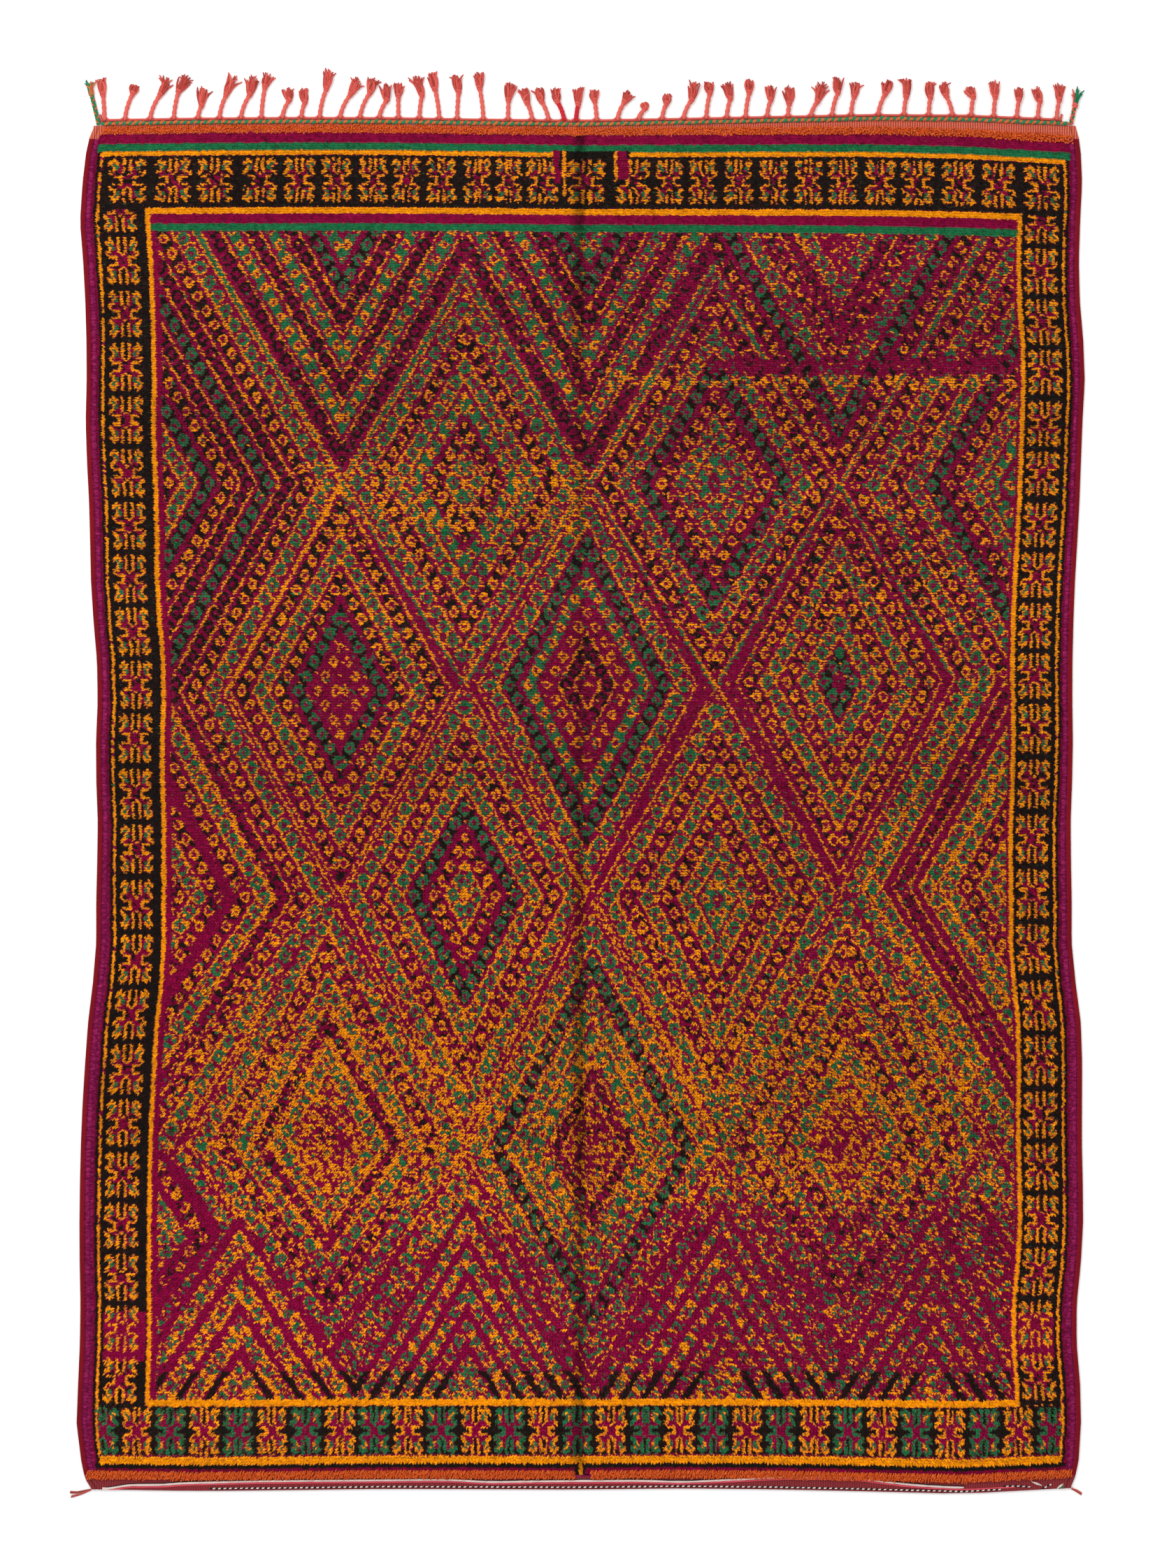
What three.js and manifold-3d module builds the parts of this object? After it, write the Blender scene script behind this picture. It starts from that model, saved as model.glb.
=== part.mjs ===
// A hand-knotted wool rug lying flat on the floor, in millimetres.
// +X runs across the rug, +Y along the warp towards the tasselled end, and +Z is up.
import * as THREE from 'three';
import { mergeVertices } from 'three/addons/utils/BufferGeometryUtils.js';
import Module from 'manifold-3d';

// Gap between pieces that touch, and a little more where the fringe's edge is cut straighter
const GAP = 0.3;
const FRINGE_GAP = 0.42;

// Heights of the cloth above the floor
const PILE_HEIGHT = 16;
const LOOP_HEIGHT = 10;
const FLAT_WEAVE_HEIGHT = 4;
const SELVEDGE_HEIGHT = 6;
const OUTER_EDGE_HEIGHT = 3;

// How far each height reaches in from the edge of the cloth
const SELVEDGE_WIDTH = 16;
const EDGE_ROUNDING = 4;
const PILE_SHOULDER = 12;
const BOTTOM_FLAT_WEAVE = 14;
const BOTTOM_LOOPS = 22;
const TOP_FLAT_WEAVE = 5;
const TOP_LOOPS = 13;
const END_SLOPE = 3;

// The fold line down the middle, where the pile parts
const FOLD_X = 0;
const FOLD_DEPTH = 4;
const FOLD_HALF_WIDTH = 18;

// Nominal straight ends of the cloth, and how far their waves run into it
const TOP_END = 1256;
const BOTTOM_END = -1347;
const WAVE_REACH = 320;

// Spacing of the solid's points along the warp, and how many lie across each half
const ROW_SPACING = 80;
const HALF_COLUMNS = 4;

// Side edges of the cloth at stations along the warp
const SIDES = [
  { y: -1347, left: -926, right: 942 },
  { y: -1327, left: -938, right: 950 },
  { y: -1293, left: -946, right: 957 },
  { y: -1240, left: -954, right: 960 },
  { y: -1187, left: -953, right: 961 },
  { y: -1027, left: -947, right: 951 },
  { y: -867, left: -949, right: 964 },
  { y: -653, left: -945, right: 962 },
  { y: -547, left: -939, right: 963 },
  { y: -440, left: -931, right: 959 },
  { y: -333, left: -918, right: 944 },
  { y: -227, left: -917, right: 943 },
  { y: -67, left: -914, right: 941 },
  { y: 40, left: -918, right: 945 },
  { y: 200, left: -914, right: 944 },
  { y: 360, left: -926, right: 948 },
  { y: 520, left: -930, right: 957 },
  { y: 680, left: -937, right: 963 },
  { y: 787, left: -935, right: 968 },
  { y: 947, left: -939, right: 957 },
  { y: 1053, left: -946, right: 958 },
  { y: 1093, left: -949, right: 960 },
  { y: 1160, left: -942, right: 963 },
  { y: 1213, left: -938, right: 962 },
  { y: 1256, left: -922, right: 951 },
];

// Waves of the two ends at stations across the rug
const ENDS = [
  { x: -960, top: 1252, bottom: -1346 },
  { x: -700, top: 1256, bottom: -1350 },
  { x: -400, top: 1257, bottom: -1346 },
  { x: 0, top: 1252, bottom: -1347 },
  { x: 240, top: 1256, bottom: -1345 },
  { x: 620, top: 1263, bottom: -1352 },
  { x: 760, top: 1261, bottom: -1355 },
  { x: 870, top: 1256, bottom: -1348 },
  { x: 960, top: 1252, bottom: -1343 },
];

// The twined cord on the top end: one green and one orange lump make a turn
const CORD_WIDTH = 8;
const CORD_HEIGHT = 9;
const CORD_WAIST = 0.72;
const CORD_TURN = 13;
const CORD_INSET = 16;

// The scalloped strip of warp ends beyond the cord
const STRIP_HEIGHT = 4;
const STRIP_AT_TASSEL = 7;
const STRIP_BETWEEN = 4;

// One tassel's plaited stem, its flared root and its overhand knot
const STEM_WIDTH = 7;
const STEM_HEIGHT = 6;
const STEM_STOPS = [0.35, 0.7];
const STEM_BEND = { lean: 0.15, rise: 0.5 };
const ROOT_WIDTH = 12;
const ROOT_IN_STRIP = 3;
const KNOT_WIDTH = 11;
const KNOT_HEIGHT = 9;
const KNOT_HALF_LENGTH = 5;

// The tuft of cut ends: its locks, their fan in radians and one lock's sections
const LOCKS_PER_TUFT = 3;
const LOCK_WIDTH = 5;
const LOCK_HEIGHT = 5;
const LOCK_SPACING = 4.5;
const TUFT_FAN = 0.5;
const OUTER_LOCKS_SHORTER = 0.12;
const LOCK_SECTIONS = [
  { at: 0, width: 1, height: 0.9 },
  { at: 0.6, width: 1, height: 1 },
  { at: 1, width: 0.5, height: 0.5 },
];

// Each tassel: its root along the edge, then the runs of its stem and of its tuft
const TASSELS = [
  { root: -901, stem: [-3, 48], tuft: [-2, 33] },
  { root: -862, stem: [15, 49], tuft: [5, 18] },
  { root: -814, stem: [19, 46], tuft: [18, 34] },
  { root: -769, stem: [9, 51], tuft: [18, 33] },
  { root: -723, stem: [7, 24], tuft: [4, 39] },
  { root: -682, stem: [13, 44], tuft: [16, 40] },
  { root: -641, stem: [17, 44], tuft: [6, 40] },
  { root: -602, stem: [7, 59], tuft: [10, 27] },
  { root: -562, stem: [13, 33], tuft: [-4, 25] },
  { root: -526, stem: [7, 29], tuft: [-5, 28] },
  { root: -491, stem: [13, 55], tuft: [4, 40] },
  { root: -452, stem: [20, 44], tuft: [19, 31] },
  { root: -414, stem: [19, 47], tuft: [10, 31] },
  { root: -377, stem: [14, 33], tuft: [-3, 34] },
  { root: -341, stem: [0, 42], tuft: [2, 27] },
  { root: -301, stem: [5, 43], tuft: [-12, 43] },
  { root: -263, stem: [-8, 55], tuft: [-5, 35] },
  { root: -229, stem: [3, 51], tuft: [-5, 39] },
  { root: -179, stem: [-7, 59], tuft: [-1, 33] },
  { root: -132, stem: [1, 37], tuft: [5, 35] },
  { root: -86, stem: [-9, 31], tuft: [-9, 31] },
  { root: -55, stem: [-13, 35], tuft: [-7, 28] },
  { root: -25, stem: [-13, 35], tuft: [-4, 28] },
  { root: -2, stem: [4, 30], tuft: [1, 35] },
  { root: 37, stem: [-4, 37], tuft: [-1, 24] },
  { root: 77, stem: [13, 33], tuft: [13, 21] },
  { root: 118, stem: [12, 21], tuft: [-3, 12] },
  { root: 162, stem: [8, 29], tuft: [4, 20] },
  { root: 203, stem: [15, 35], tuft: [8, 39] },
  { root: 246, stem: [7, 47], tuft: [-4, 25] },
  { root: 285, stem: [7, 36], tuft: [-7, 32] },
  { root: 321, stem: [7, 47], tuft: [1, 27] },
  { root: 362, stem: [7, 32], tuft: [-3, 29] },
  { root: 402, stem: [2, 24], tuft: [2, 37] },
  { root: 446, stem: [12, 27], tuft: [12, 40] },
  { root: 486, stem: [11, 43], tuft: [-3, 33] },
  { root: 522, stem: [6, 35], tuft: [6, 29] },
  { root: 574, stem: [13, 39], tuft: [8, 28] },
  { root: 623, stem: [4, 34], tuft: [2, 37] },
  { root: 670, stem: [3, 33], tuft: [-4, 33] },
  { root: 715, stem: [-12, 37], tuft: [-5, 27] },
  { root: 751, stem: [4, 35], tuft: [-12, 20] },
  { root: 794, stem: [3, 37], tuft: [-5, 33] },
  { root: 838, stem: [4, 33], tuft: [0, 25] },
  { root: 878, stem: [4, 32], tuft: [-11, 29] },
  { root: 914, stem: [5, 37], tuft: [-1, 33] },
];

// Plaited cords at the two top corners: run of the plait, and of each lock of its tuft
const PLAIT_WIDTH = 8;
const PLAIT_HEIGHT = 7;
const PLAIT_WAIST = 0.78;
const PLAIT_STEP = 5;
const PLAIT_ASIDE = 6;
const PLAITS = {
  left: { run: [-14, 58], locks: [[-7, 33], [1, 31]], lockWidth: 6, lockSpacing: 3.6 },
  right: { run: [8, 36], locks: [[-4, 34], [11, 40]], lockWidth: 7, lockSpacing: 4.2 },
};

// Woven tails at the two bottom corners, as sections out from the corner of the cloth
const TAIL_HEIGHT = 3;
const TAIL_LEFT_STEM = [
  { x: -926.6, y: -1346.9, width: 2.5 },
  { x: -942, y: -1353, width: 10 },
  { x: -954, y: -1356, width: 12 },
];
const TAIL_LEFT_FORK = [
  [{ x: -942, y: -1350, width: 5 }, { x: -954, y: -1353, width: 6 }, { x: -968, y: -1352.5, width: 2 }],
  [{ x: -942, y: -1356, width: 5 }, { x: -954, y: -1359, width: 6 }, { x: -966.5, y: -1362, width: 3 }],
];
const TAIL_RIGHT_STEM = [
  { x: 942.3, y: -1344.6, width: 3.5 },
  { x: 953, y: -1350, width: 6 },
  { x: 963, y: -1357, width: 1.5 },
];

// Flat-based sections, as fractions of a strand's width and height
const FOUR_SIDED = [[-0.5, 0], [0.5, 0], [0.34, 1], [-0.34, 1]];
const THREE_SIDED = [[-0.5, 0], [0.5, 0], [0, 1]];
const FIVE_SIDED = [[-0.5, 0], [0.5, 0], [0.5, 0.6], [0, 1], [-0.5, 0.6]];

const wasm = await Module();
wasm.setup();

// Smooth curve through one column of a table, by another column
function curveThrough(table, position, value) {
  const positions = table.map((row) => row[position]);
  const values = table.map((row) => row[value]);
  const curve = new THREE.CubicInterpolant(positions, values, 1);
  return (at) => curve.evaluate(at)[0];
}

const leftEdge = curveThrough(SIDES, 'y', 'left');
const rightEdge = curveThrough(SIDES, 'y', 'right');
const topEnd = curveThrough(ENDS, 'x', 'top');
const bottomEnd = curveThrough(ENDS, 'x', 'bottom');

// Height on a stepped profile of [distance, height] pairs
function heightAt(profile, distance) {
  const next = profile.findIndex(([reach]) => reach >= distance);
  if (next < 0) {
    return profile[profile.length - 1][1];
  }
  if (next === 0) {
    return profile[0][1];
  }
  const [near, low] = profile[next - 1];
  const [far, high] = profile[next];
  return THREE.MathUtils.mapLinear(distance, near, far, low, high);
}

const SIDE_PROFILE = [
  [0, OUTER_EDGE_HEIGHT],
  [EDGE_ROUNDING, SELVEDGE_HEIGHT],
  [SELVEDGE_WIDTH, SELVEDGE_HEIGHT],
  [SELVEDGE_WIDTH + PILE_SHOULDER, PILE_HEIGHT],
];

const BOTTOM_PROFILE = [
  [0, FLAT_WEAVE_HEIGHT],
  [BOTTOM_FLAT_WEAVE, FLAT_WEAVE_HEIGHT],
  [BOTTOM_FLAT_WEAVE + END_SLOPE, LOOP_HEIGHT],
  [BOTTOM_FLAT_WEAVE + BOTTOM_LOOPS, LOOP_HEIGHT],
  [BOTTOM_FLAT_WEAVE + BOTTOM_LOOPS + PILE_SHOULDER, PILE_HEIGHT],
];

const TOP_PROFILE = [
  [0, FLAT_WEAVE_HEIGHT],
  [TOP_FLAT_WEAVE, FLAT_WEAVE_HEIGHT],
  [TOP_FLAT_WEAVE + END_SLOPE, LOOP_HEIGHT],
  [TOP_FLAT_WEAVE + TOP_LOOPS, LOOP_HEIGHT],
  [TOP_FLAT_WEAVE + TOP_LOOPS + PILE_SHOULDER, PILE_HEIGHT],
];

const FOLD_PROFILE = [
  [0, PILE_HEIGHT - FOLD_DEPTH],
  [FOLD_HALF_WIDTH, PILE_HEIGHT],
];

// Evenly spaced values between two others, both left out
function between(first, last, count) {
  const values = [];
  for (let i = 1; i <= count; i += 1) {
    values.push(THREE.MathUtils.lerp(first, last, i / (count + 1)));
  }
  return values;
}

// Stations along the warp: every step of the two end profiles, with even rows between
function warpStations() {
  const bottom = BOTTOM_PROFILE.map(([distance]) => BOTTOM_END + distance);
  const top = TOP_PROFILE.map(([distance]) => TOP_END - distance).reverse();
  const first = bottom[bottom.length - 1];
  const last = top[0];
  const rows = Math.round((last - first) / ROW_SPACING);
  return [...bottom, ...between(first, last, rows), ...top];
}

// Places across the rug at one station: both selvedges, the two halves and the fold
function weftStations(y) {
  const left = leftEdge(y);
  const right = rightEdge(y);
  const reaches = SIDE_PROFILE.map(([distance]) => distance);
  const fromLeft = reaches.map((reach) => left + reach);
  const fromRight = reaches.map((reach) => right - reach).reverse();
  const fold = [FOLD_X - FOLD_HALF_WIDTH, FOLD_X, FOLD_X + FOLD_HALF_WIDTH];
  const halfLeft = between(fromLeft[fromLeft.length - 1], fold[0], HALF_COLUMNS);
  const halfRight = between(fold[2], fromRight[0], HALF_COLUMNS);
  return [...fromLeft, ...halfLeft, ...fold, ...halfRight, ...fromRight];
}

function carpetHeight(x, y) {
  const side = Math.min(x - leftEdge(y), rightEdge(y) - x);
  return Math.min(
    heightAt(SIDE_PROFILE, side),
    heightAt(BOTTOM_PROFILE, y - BOTTOM_END),
    heightAt(TOP_PROFILE, TOP_END - y),
    heightAt(FOLD_PROFILE, Math.abs(x - FOLD_X)),
  );
}

// The waves of an end fade out over the first stretch of the cloth
function wavedY(x, y) {
  const nearTop = Math.max(0, 1 - (TOP_END - y) / WAVE_REACH);
  const nearBottom = Math.max(0, 1 - (y - BOTTOM_END) / WAVE_REACH);
  return y + (topEnd(x) - TOP_END) * nearTop + (bottomEnd(x) - BOTTOM_END) * nearBottom;
}

// Closed solid between a grid of top points and the floor
function slabGeometry(grid) {
  const rows = grid.length;
  const columns = grid[0].length;
  const positions = [];
  grid.flat().forEach((p) => positions.push(p.x, p.y, p.z));
  grid.flat().forEach((p) => positions.push(p.x, p.y, 0));
  const top = (row, column) => row * columns + column;
  const base = (row, column) => rows * columns + row * columns + column;
  const faces = [];
  const quad = (a, b, c, d) => faces.push(a, b, c, a, c, d);
  for (let r = 0; r + 1 < rows; r += 1) {
    for (let c = 0; c + 1 < columns; c += 1) {
      quad(top(r, c), top(r, c + 1), top(r + 1, c + 1), top(r + 1, c));
      quad(base(r, c), base(r + 1, c), base(r + 1, c + 1), base(r, c + 1));
    }
    quad(base(r, 0), top(r, 0), top(r + 1, 0), base(r + 1, 0));
    const c = columns - 1;
    quad(base(r, c), base(r + 1, c), top(r + 1, c), top(r, c));
  }
  for (let c = 0; c + 1 < columns; c += 1) {
    quad(base(0, c), base(0, c + 1), top(0, c + 1), top(0, c));
    const r = rows - 1;
    quad(base(r, c), top(r, c), top(r, c + 1), base(r, c + 1));
  }
  return indexed(positions, faces);
}

function indexed(positions, faces) {
  const geometry = new THREE.BufferGeometry();
  geometry.setAttribute('position', new THREE.Float32BufferAttribute(positions, 3));
  geometry.setIndex(faces);
  return geometry;
}

// A strand lying on the floor: one flat-based section at each stop of its path
function strandGeometry(stops, section) {
  const sides = section.length;
  const positions = [];
  const faces = [];
  stops.forEach((stop, i) => {
    const before = stops[Math.max(0, i - 1)];
    const after = stops[Math.min(stops.length - 1, i + 1)];
    const along = new THREE.Vector2(after.x - before.x, after.y - before.y).normalize();
    section.forEach(([across, up]) => {
      const offset = across * stop.width;
      positions.push(stop.x + along.y * offset, stop.y - along.x * offset, up * stop.height);
    });
  });
  for (let i = 0; i + 1 < stops.length; i += 1) {
    for (let s = 0; s < sides; s += 1) {
      const a = i * sides + s;
      const b = i * sides + ((s + 1) % sides);
      faces.push(a, b + sides, b, a, a + sides, b + sides);
    }
  }
  const last = (stops.length - 1) * sides;
  for (let s = 1; s + 1 < sides; s += 1) {
    faces.push(0, s, s + 1);
    faces.push(last, last + s + 1, last + s);
  }
  return indexed(positions, faces);
}

function toManifold(geometry) {
  const merged = mergeVertices(geometry);
  return new wasm.Manifold(new wasm.Mesh({
    numProp: 3,
    vertProperties: merged.attributes.position.array,
    triVerts: Uint32Array.from(merged.index.array),
  }));
}

// One body from overlapping strands
function fused(geometries) {
  const solid = geometries.map(toManifold).reduce((whole, next) => whole.add(next));
  const mesh = solid.getMesh();
  return indexed(Array.from(mesh.vertProperties), Array.from(mesh.triVerts));
}

// Ground weave, pile, selvedges and flat-woven end: the whole cloth in one piece
function knottedCarpet() {
  const grid = warpStations().map((y) => weftStations(y).map((x) => (
    new THREE.Vector3(x, wavedY(x, y), carpetHeight(x, y))
  )));
  return slabGeometry(grid);
}

// Where the twined cord begins and ends, and the lines along its middle and its far side
const CORD_START = leftEdge(TOP_END) + CORD_INSET;
const CORD_END = rightEdge(TOP_END) - CORD_INSET;
const topStations = weftStations(TOP_END);
const topLine = new THREE.LinearInterpolant(topStations, topStations.map(topEnd), 1);
const cordMiddle = (x) => topLine.evaluate(x)[0] + GAP + CORD_WIDTH / 2;
const cordTop = (x) => topLine.evaluate(x)[0] + GAP + CORD_WIDTH;

// Two yarns twined round the warp ends stand up as a row of lumps
function twinedEdge() {
  const halfTurns = 2 * Math.round((CORD_END - CORD_START) / CORD_TURN);
  const stops = [];
  for (let i = 0; i <= halfTurns; i += 1) {
    const x = THREE.MathUtils.lerp(CORD_START, CORD_END, i / halfTurns);
    const swell = i % 2 ? 1 : CORD_WAIST;
    stops.push({ x, y: cordMiddle(x), width: CORD_WIDTH * swell, height: CORD_HEIGHT * swell });
  }
  return strandGeometry(stops, FIVE_SIDED);
}

// The strip of warp ends, wide where a tassel leaves it and narrow between
function fringeStrip() {
  const stops = [];
  const add = (x, width) => {
    stops.push({ x, y: cordTop(x) + FRINGE_GAP + width / 2, width, height: STRIP_HEIGHT });
  };
  add(CORD_START + GAP, STRIP_BETWEEN);
  TASSELS.forEach((tassel, i) => {
    add(tassel.root, STRIP_AT_TASSEL);
    const next = TASSELS[i + 1];
    add(next ? (tassel.root + next.root) / 2 : CORD_END - GAP, STRIP_BETWEEN);
  });
  return strandGeometry(stops, FOUR_SIDED);
}

// Plaited stem that leaves the strip square to it, leans over and ends in a knot
function tasselStem({ root, stem }) {
  const foot = new THREE.Vector2(root, cordTop(root) + FRINGE_GAP + ROOT_IN_STRIP);
  const knot = foot.clone().add(new THREE.Vector2(...stem));
  const bend = new THREE.Vector2(root + stem[0] * STEM_BEND.lean, foot.y + stem[1] * STEM_BEND.rise);
  const curve = new THREE.QuadraticBezierCurve(foot, bend, knot);
  const along = knot.clone().sub(bend).normalize();
  const pastKnot = (distance) => knot.clone().addScaledVector(along, distance);
  const stop = (point, width, height) => ({ x: point.x, y: point.y, width, height });
  const stops = [
    stop(foot, ROOT_WIDTH, STRIP_HEIGHT),
    ...STEM_STOPS.map((t) => stop(curve.getPoint(t), STEM_WIDTH, STEM_HEIGHT)),
    stop(pastKnot(-KNOT_HALF_LENGTH), STEM_WIDTH, STEM_HEIGHT),
    stop(knot, KNOT_WIDTH, KNOT_HEIGHT),
    stop(pastKnot(KNOT_HALF_LENGTH), STEM_WIDTH, STEM_HEIGHT),
  ];
  return { stops, knot };
}

// One lock that lies level on the floor
function lock(foot, heading, length, width) {
  const out = new THREE.Vector2(Math.cos(heading), Math.sin(heading));
  const stops = LOCK_SECTIONS.map((section) => {
    const point = foot.clone().addScaledVector(out, length * section.at);
    return { x: point.x, y: point.y, width: width * section.width, height: LOCK_HEIGHT * section.height };
  });
  return strandGeometry(stops, THREE_SIDED);
}

// Locks side by side that fan out from a knot
function tuftLocks(knot, [runX, runY]) {
  const length = Math.hypot(runX, runY);
  const heading = Math.atan2(runY, runX);
  const across = new THREE.Vector2(Math.sin(heading), -Math.cos(heading));
  const locks = [];
  for (let i = 0; i < LOCKS_PER_TUFT; i += 1) {
    const side = i - (LOCKS_PER_TUFT - 1) / 2;
    const foot = knot.clone().addScaledVector(across, side * LOCK_SPACING);
    const reach = length * (1 - OUTER_LOCKS_SHORTER * Math.abs(side));
    locks.push(lock(foot, heading - (side * TUFT_FAN) / 2, reach, LOCK_WIDTH));
  }
  return locks;
}

// Strip and tassels, joined only at the tassels' roots
function warpFringe() {
  const pieces = [fringeStrip()];
  TASSELS.forEach((tassel) => {
    const { stops, knot } = tasselStem(tassel);
    pieces.push(strandGeometry(stops, FOUR_SIDED));
    pieces.push(...tuftLocks(knot, tassel.tuft));
  });
  return fused(pieces);
}

// A plaited cord that carries on from the end of the twining
function cornerPlait(startX, { run, locks, lockWidth, lockSpacing }) {
  const length = Math.hypot(...run);
  const footDrop = (PLAIT_WIDTH / 2) * Math.abs(run[0] / length);
  const start = new THREE.Vector2(startX, topLine.evaluate(startX)[0] + GAP + footDrop);
  const steps = Math.round(length / PLAIT_STEP);
  const stops = [];
  for (let i = 0; i <= steps; i += 1) {
    const swell = i % 2 ? PLAIT_WAIST : 1;
    stops.push({
      x: start.x + run[0] * (i / steps),
      y: start.y + run[1] * (i / steps),
      width: PLAIT_WIDTH * swell,
      height: PLAIT_HEIGHT * swell,
    });
  }
  const head = start.clone().add(new THREE.Vector2(...run));
  const pieces = [strandGeometry(stops, FOUR_SIDED)];
  locks.forEach(([lockX, lockY], i) => {
    const side = i - (locks.length - 1) / 2;
    const foot = new THREE.Vector2(head.x + side * lockSpacing, head.y - PLAIT_STEP);
    const heading = Math.atan2(lockY + PLAIT_STEP, lockX);
    pieces.push(lock(foot, heading, Math.hypot(lockX, lockY + PLAIT_STEP), lockWidth));
  });
  return fused(pieces);
}

const tailStop = (stop) => ({ ...stop, height: TAIL_HEIGHT });

// The forked tail of the flat-woven end
function cornerTailLeft() {
  const branches = [TAIL_LEFT_STEM, ...TAIL_LEFT_FORK];
  return fused(branches.map((branch) => strandGeometry(branch.map(tailStop), FOUR_SIDED)));
}

// The pointed tail at the other end of it
function cornerTailRight() {
  return strandGeometry(TAIL_RIGHT_STEM.map(tailStop), FOUR_SIDED);
}

function wool(color) {
  return new THREE.MeshStandardMaterial({ color, roughness: 0.95, metalness: 0 });
}

const rug = new THREE.Group();

function addPiece(name, geometry, color) {
  const piece = new THREE.Mesh(geometry, wool(color));
  piece.name = name;
  rug.add(piece);
}

addPiece('knotted_carpet', knottedCarpet(), 0x8a2a3a);
addPiece('twined_edge', twinedEdge(), 0x3f7a45);
addPiece('warp_fringe', warpFringe(), 0xee6a60);
addPiece('corner_braid_left', cornerPlait(CORD_START - PLAIT_ASIDE, PLAITS.left), 0x2f7a4a);
addPiece('corner_braid_right', cornerPlait(CORD_END + PLAIT_ASIDE, PLAITS.right), 0xd8664a);
addPiece('corner_tail_left', cornerTailLeft(), 0x9a3a38);
addPiece('corner_tail_right', cornerTailRight(), 0x9a3a38);

export default rug;
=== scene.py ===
import math
from collections import namedtuple

import bpy
import numpy as np
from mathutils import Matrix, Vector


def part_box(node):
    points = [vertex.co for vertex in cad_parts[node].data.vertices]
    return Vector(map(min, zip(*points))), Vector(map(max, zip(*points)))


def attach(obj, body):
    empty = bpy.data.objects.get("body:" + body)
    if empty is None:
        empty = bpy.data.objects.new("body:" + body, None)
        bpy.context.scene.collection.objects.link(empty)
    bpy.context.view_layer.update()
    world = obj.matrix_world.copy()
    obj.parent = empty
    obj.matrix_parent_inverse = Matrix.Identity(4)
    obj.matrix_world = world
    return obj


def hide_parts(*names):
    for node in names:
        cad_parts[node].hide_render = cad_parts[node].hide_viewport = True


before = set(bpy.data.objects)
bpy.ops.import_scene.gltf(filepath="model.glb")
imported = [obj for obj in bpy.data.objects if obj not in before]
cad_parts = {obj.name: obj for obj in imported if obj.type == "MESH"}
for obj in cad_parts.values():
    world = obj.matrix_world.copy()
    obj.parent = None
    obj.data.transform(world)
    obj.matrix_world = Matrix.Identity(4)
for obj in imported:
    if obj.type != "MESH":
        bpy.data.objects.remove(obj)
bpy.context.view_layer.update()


# Studio: the rug lies on a pale floor and is seen from straight above, through a long lens, as a
# textile is catalogued. Light comes from all round, with one large soft lamp beyond the top left.
FLOOR_IN_VIEW = 2.9907
CAMERA_HEIGHT = 9.0
CAMERA_ASIDE = (0.0007, -0.002)
FARTHEST_SEEN = 100.0
SENSOR = 36.0
FLOOR_SIZE = 40.0
FLOOR_DROP = 0.0005
FLOOR_MOTTLE = 0.25
SKY_STRENGTH = 1.0
LAMP_PLACE = (-2.2, 2.6, 4.5)
LAMP_SIZE = 2.5
LAMP_POWER = 110.0


def linear(hex_colour):
    """sRGB hex as linear red, green, blue and opacity"""
    parts = [int(hex_colour[i:i + 2], 16) / 255 for i in (1, 3, 5)]
    return [c / 12.92 if c <= 0.04045 else ((c + 0.055) / 1.055) ** 2.4 for c in parts] + [1.0]


def add_node(tree, kind, settings=None, inputs=None):
    """A node with its settings, its inputs by name or number, and links from other nodes' sockets"""
    node = tree.nodes.new(kind)
    for name, value in (settings or {}).items():
        setattr(node, name, value)
    for key, value in (inputs or {}).items():
        if isinstance(value, bpy.types.NodeSocket):
            tree.links.new(value, node.inputs[key])
        else:
            node.inputs[key].default_value = value
    return node


def new_material(name):
    """An empty material with its output, ready for a surface"""
    material = bpy.data.materials.new(name)
    material.use_nodes = True
    material.node_tree.nodes.clear()
    output = add_node(material.node_tree, "ShaderNodeOutputMaterial")
    return material, material.node_tree, output


def new_object(name, mesh, material=None):
    """An object at the origin, linked to the scene"""
    piece = bpy.data.objects.new(name, mesh)
    bpy.context.scene.collection.objects.link(piece)
    if material:
        mesh.materials.append(material)
    return piece


camera_data = bpy.data.cameras.new("studio_camera")
camera_data.sensor_width = SENSOR
camera_data.lens = SENSOR * CAMERA_HEIGHT / FLOOR_IN_VIEW
camera_data.clip_end = FARTHEST_SEEN
camera = bpy.data.objects.new("studio_camera", camera_data)
camera.location = (*CAMERA_ASIDE, CAMERA_HEIGHT)
bpy.context.scene.collection.objects.link(camera)
bpy.context.scene.camera = camera
bpy.context.scene.view_settings.view_transform = "Standard"

sky = bpy.data.worlds.new("studio_sky")
sky.use_nodes = True
sky.node_tree.nodes["Background"].inputs["Color"].default_value = linear("#FFFFFF")
sky.node_tree.nodes["Background"].inputs["Strength"].default_value = SKY_STRENGTH
bpy.context.scene.world = sky

lamp_data = bpy.data.lights.new("soft_lamp", "AREA")
lamp_data.size = LAMP_SIZE
lamp_data.energy = LAMP_POWER
lamp = bpy.data.objects.new("soft_lamp", lamp_data)
lamp.location = LAMP_PLACE
lamp.rotation_euler = (-lamp.location).to_track_quat("-Z", "Y").to_euler()
bpy.context.scene.collection.objects.link(lamp)

# Painted studio floor: matt, almost white, with a faint roller mottle
floor_paint, tree, output = new_material("matt_white_floor_paint")
place = add_node(tree, "ShaderNodeTexCoord").outputs["Object"]
mottle = add_node(tree, "ShaderNodeTexNoise", inputs={
    "Vector": place, "Scale": 1 / FLOOR_MOTTLE}).outputs["Fac"]
shade = add_node(tree, "ShaderNodeMix", {"data_type": "RGBA"}, {
    0: mottle, 6: linear("#FAFAF9"), 7: linear("#FDFDFD")}).outputs[2]
surface = add_node(tree, "ShaderNodeBsdfPrincipled", inputs={"Base Color": shade, "Roughness": 0.9})
tree.links.new(surface.outputs[0], output.inputs["Surface"])

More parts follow.
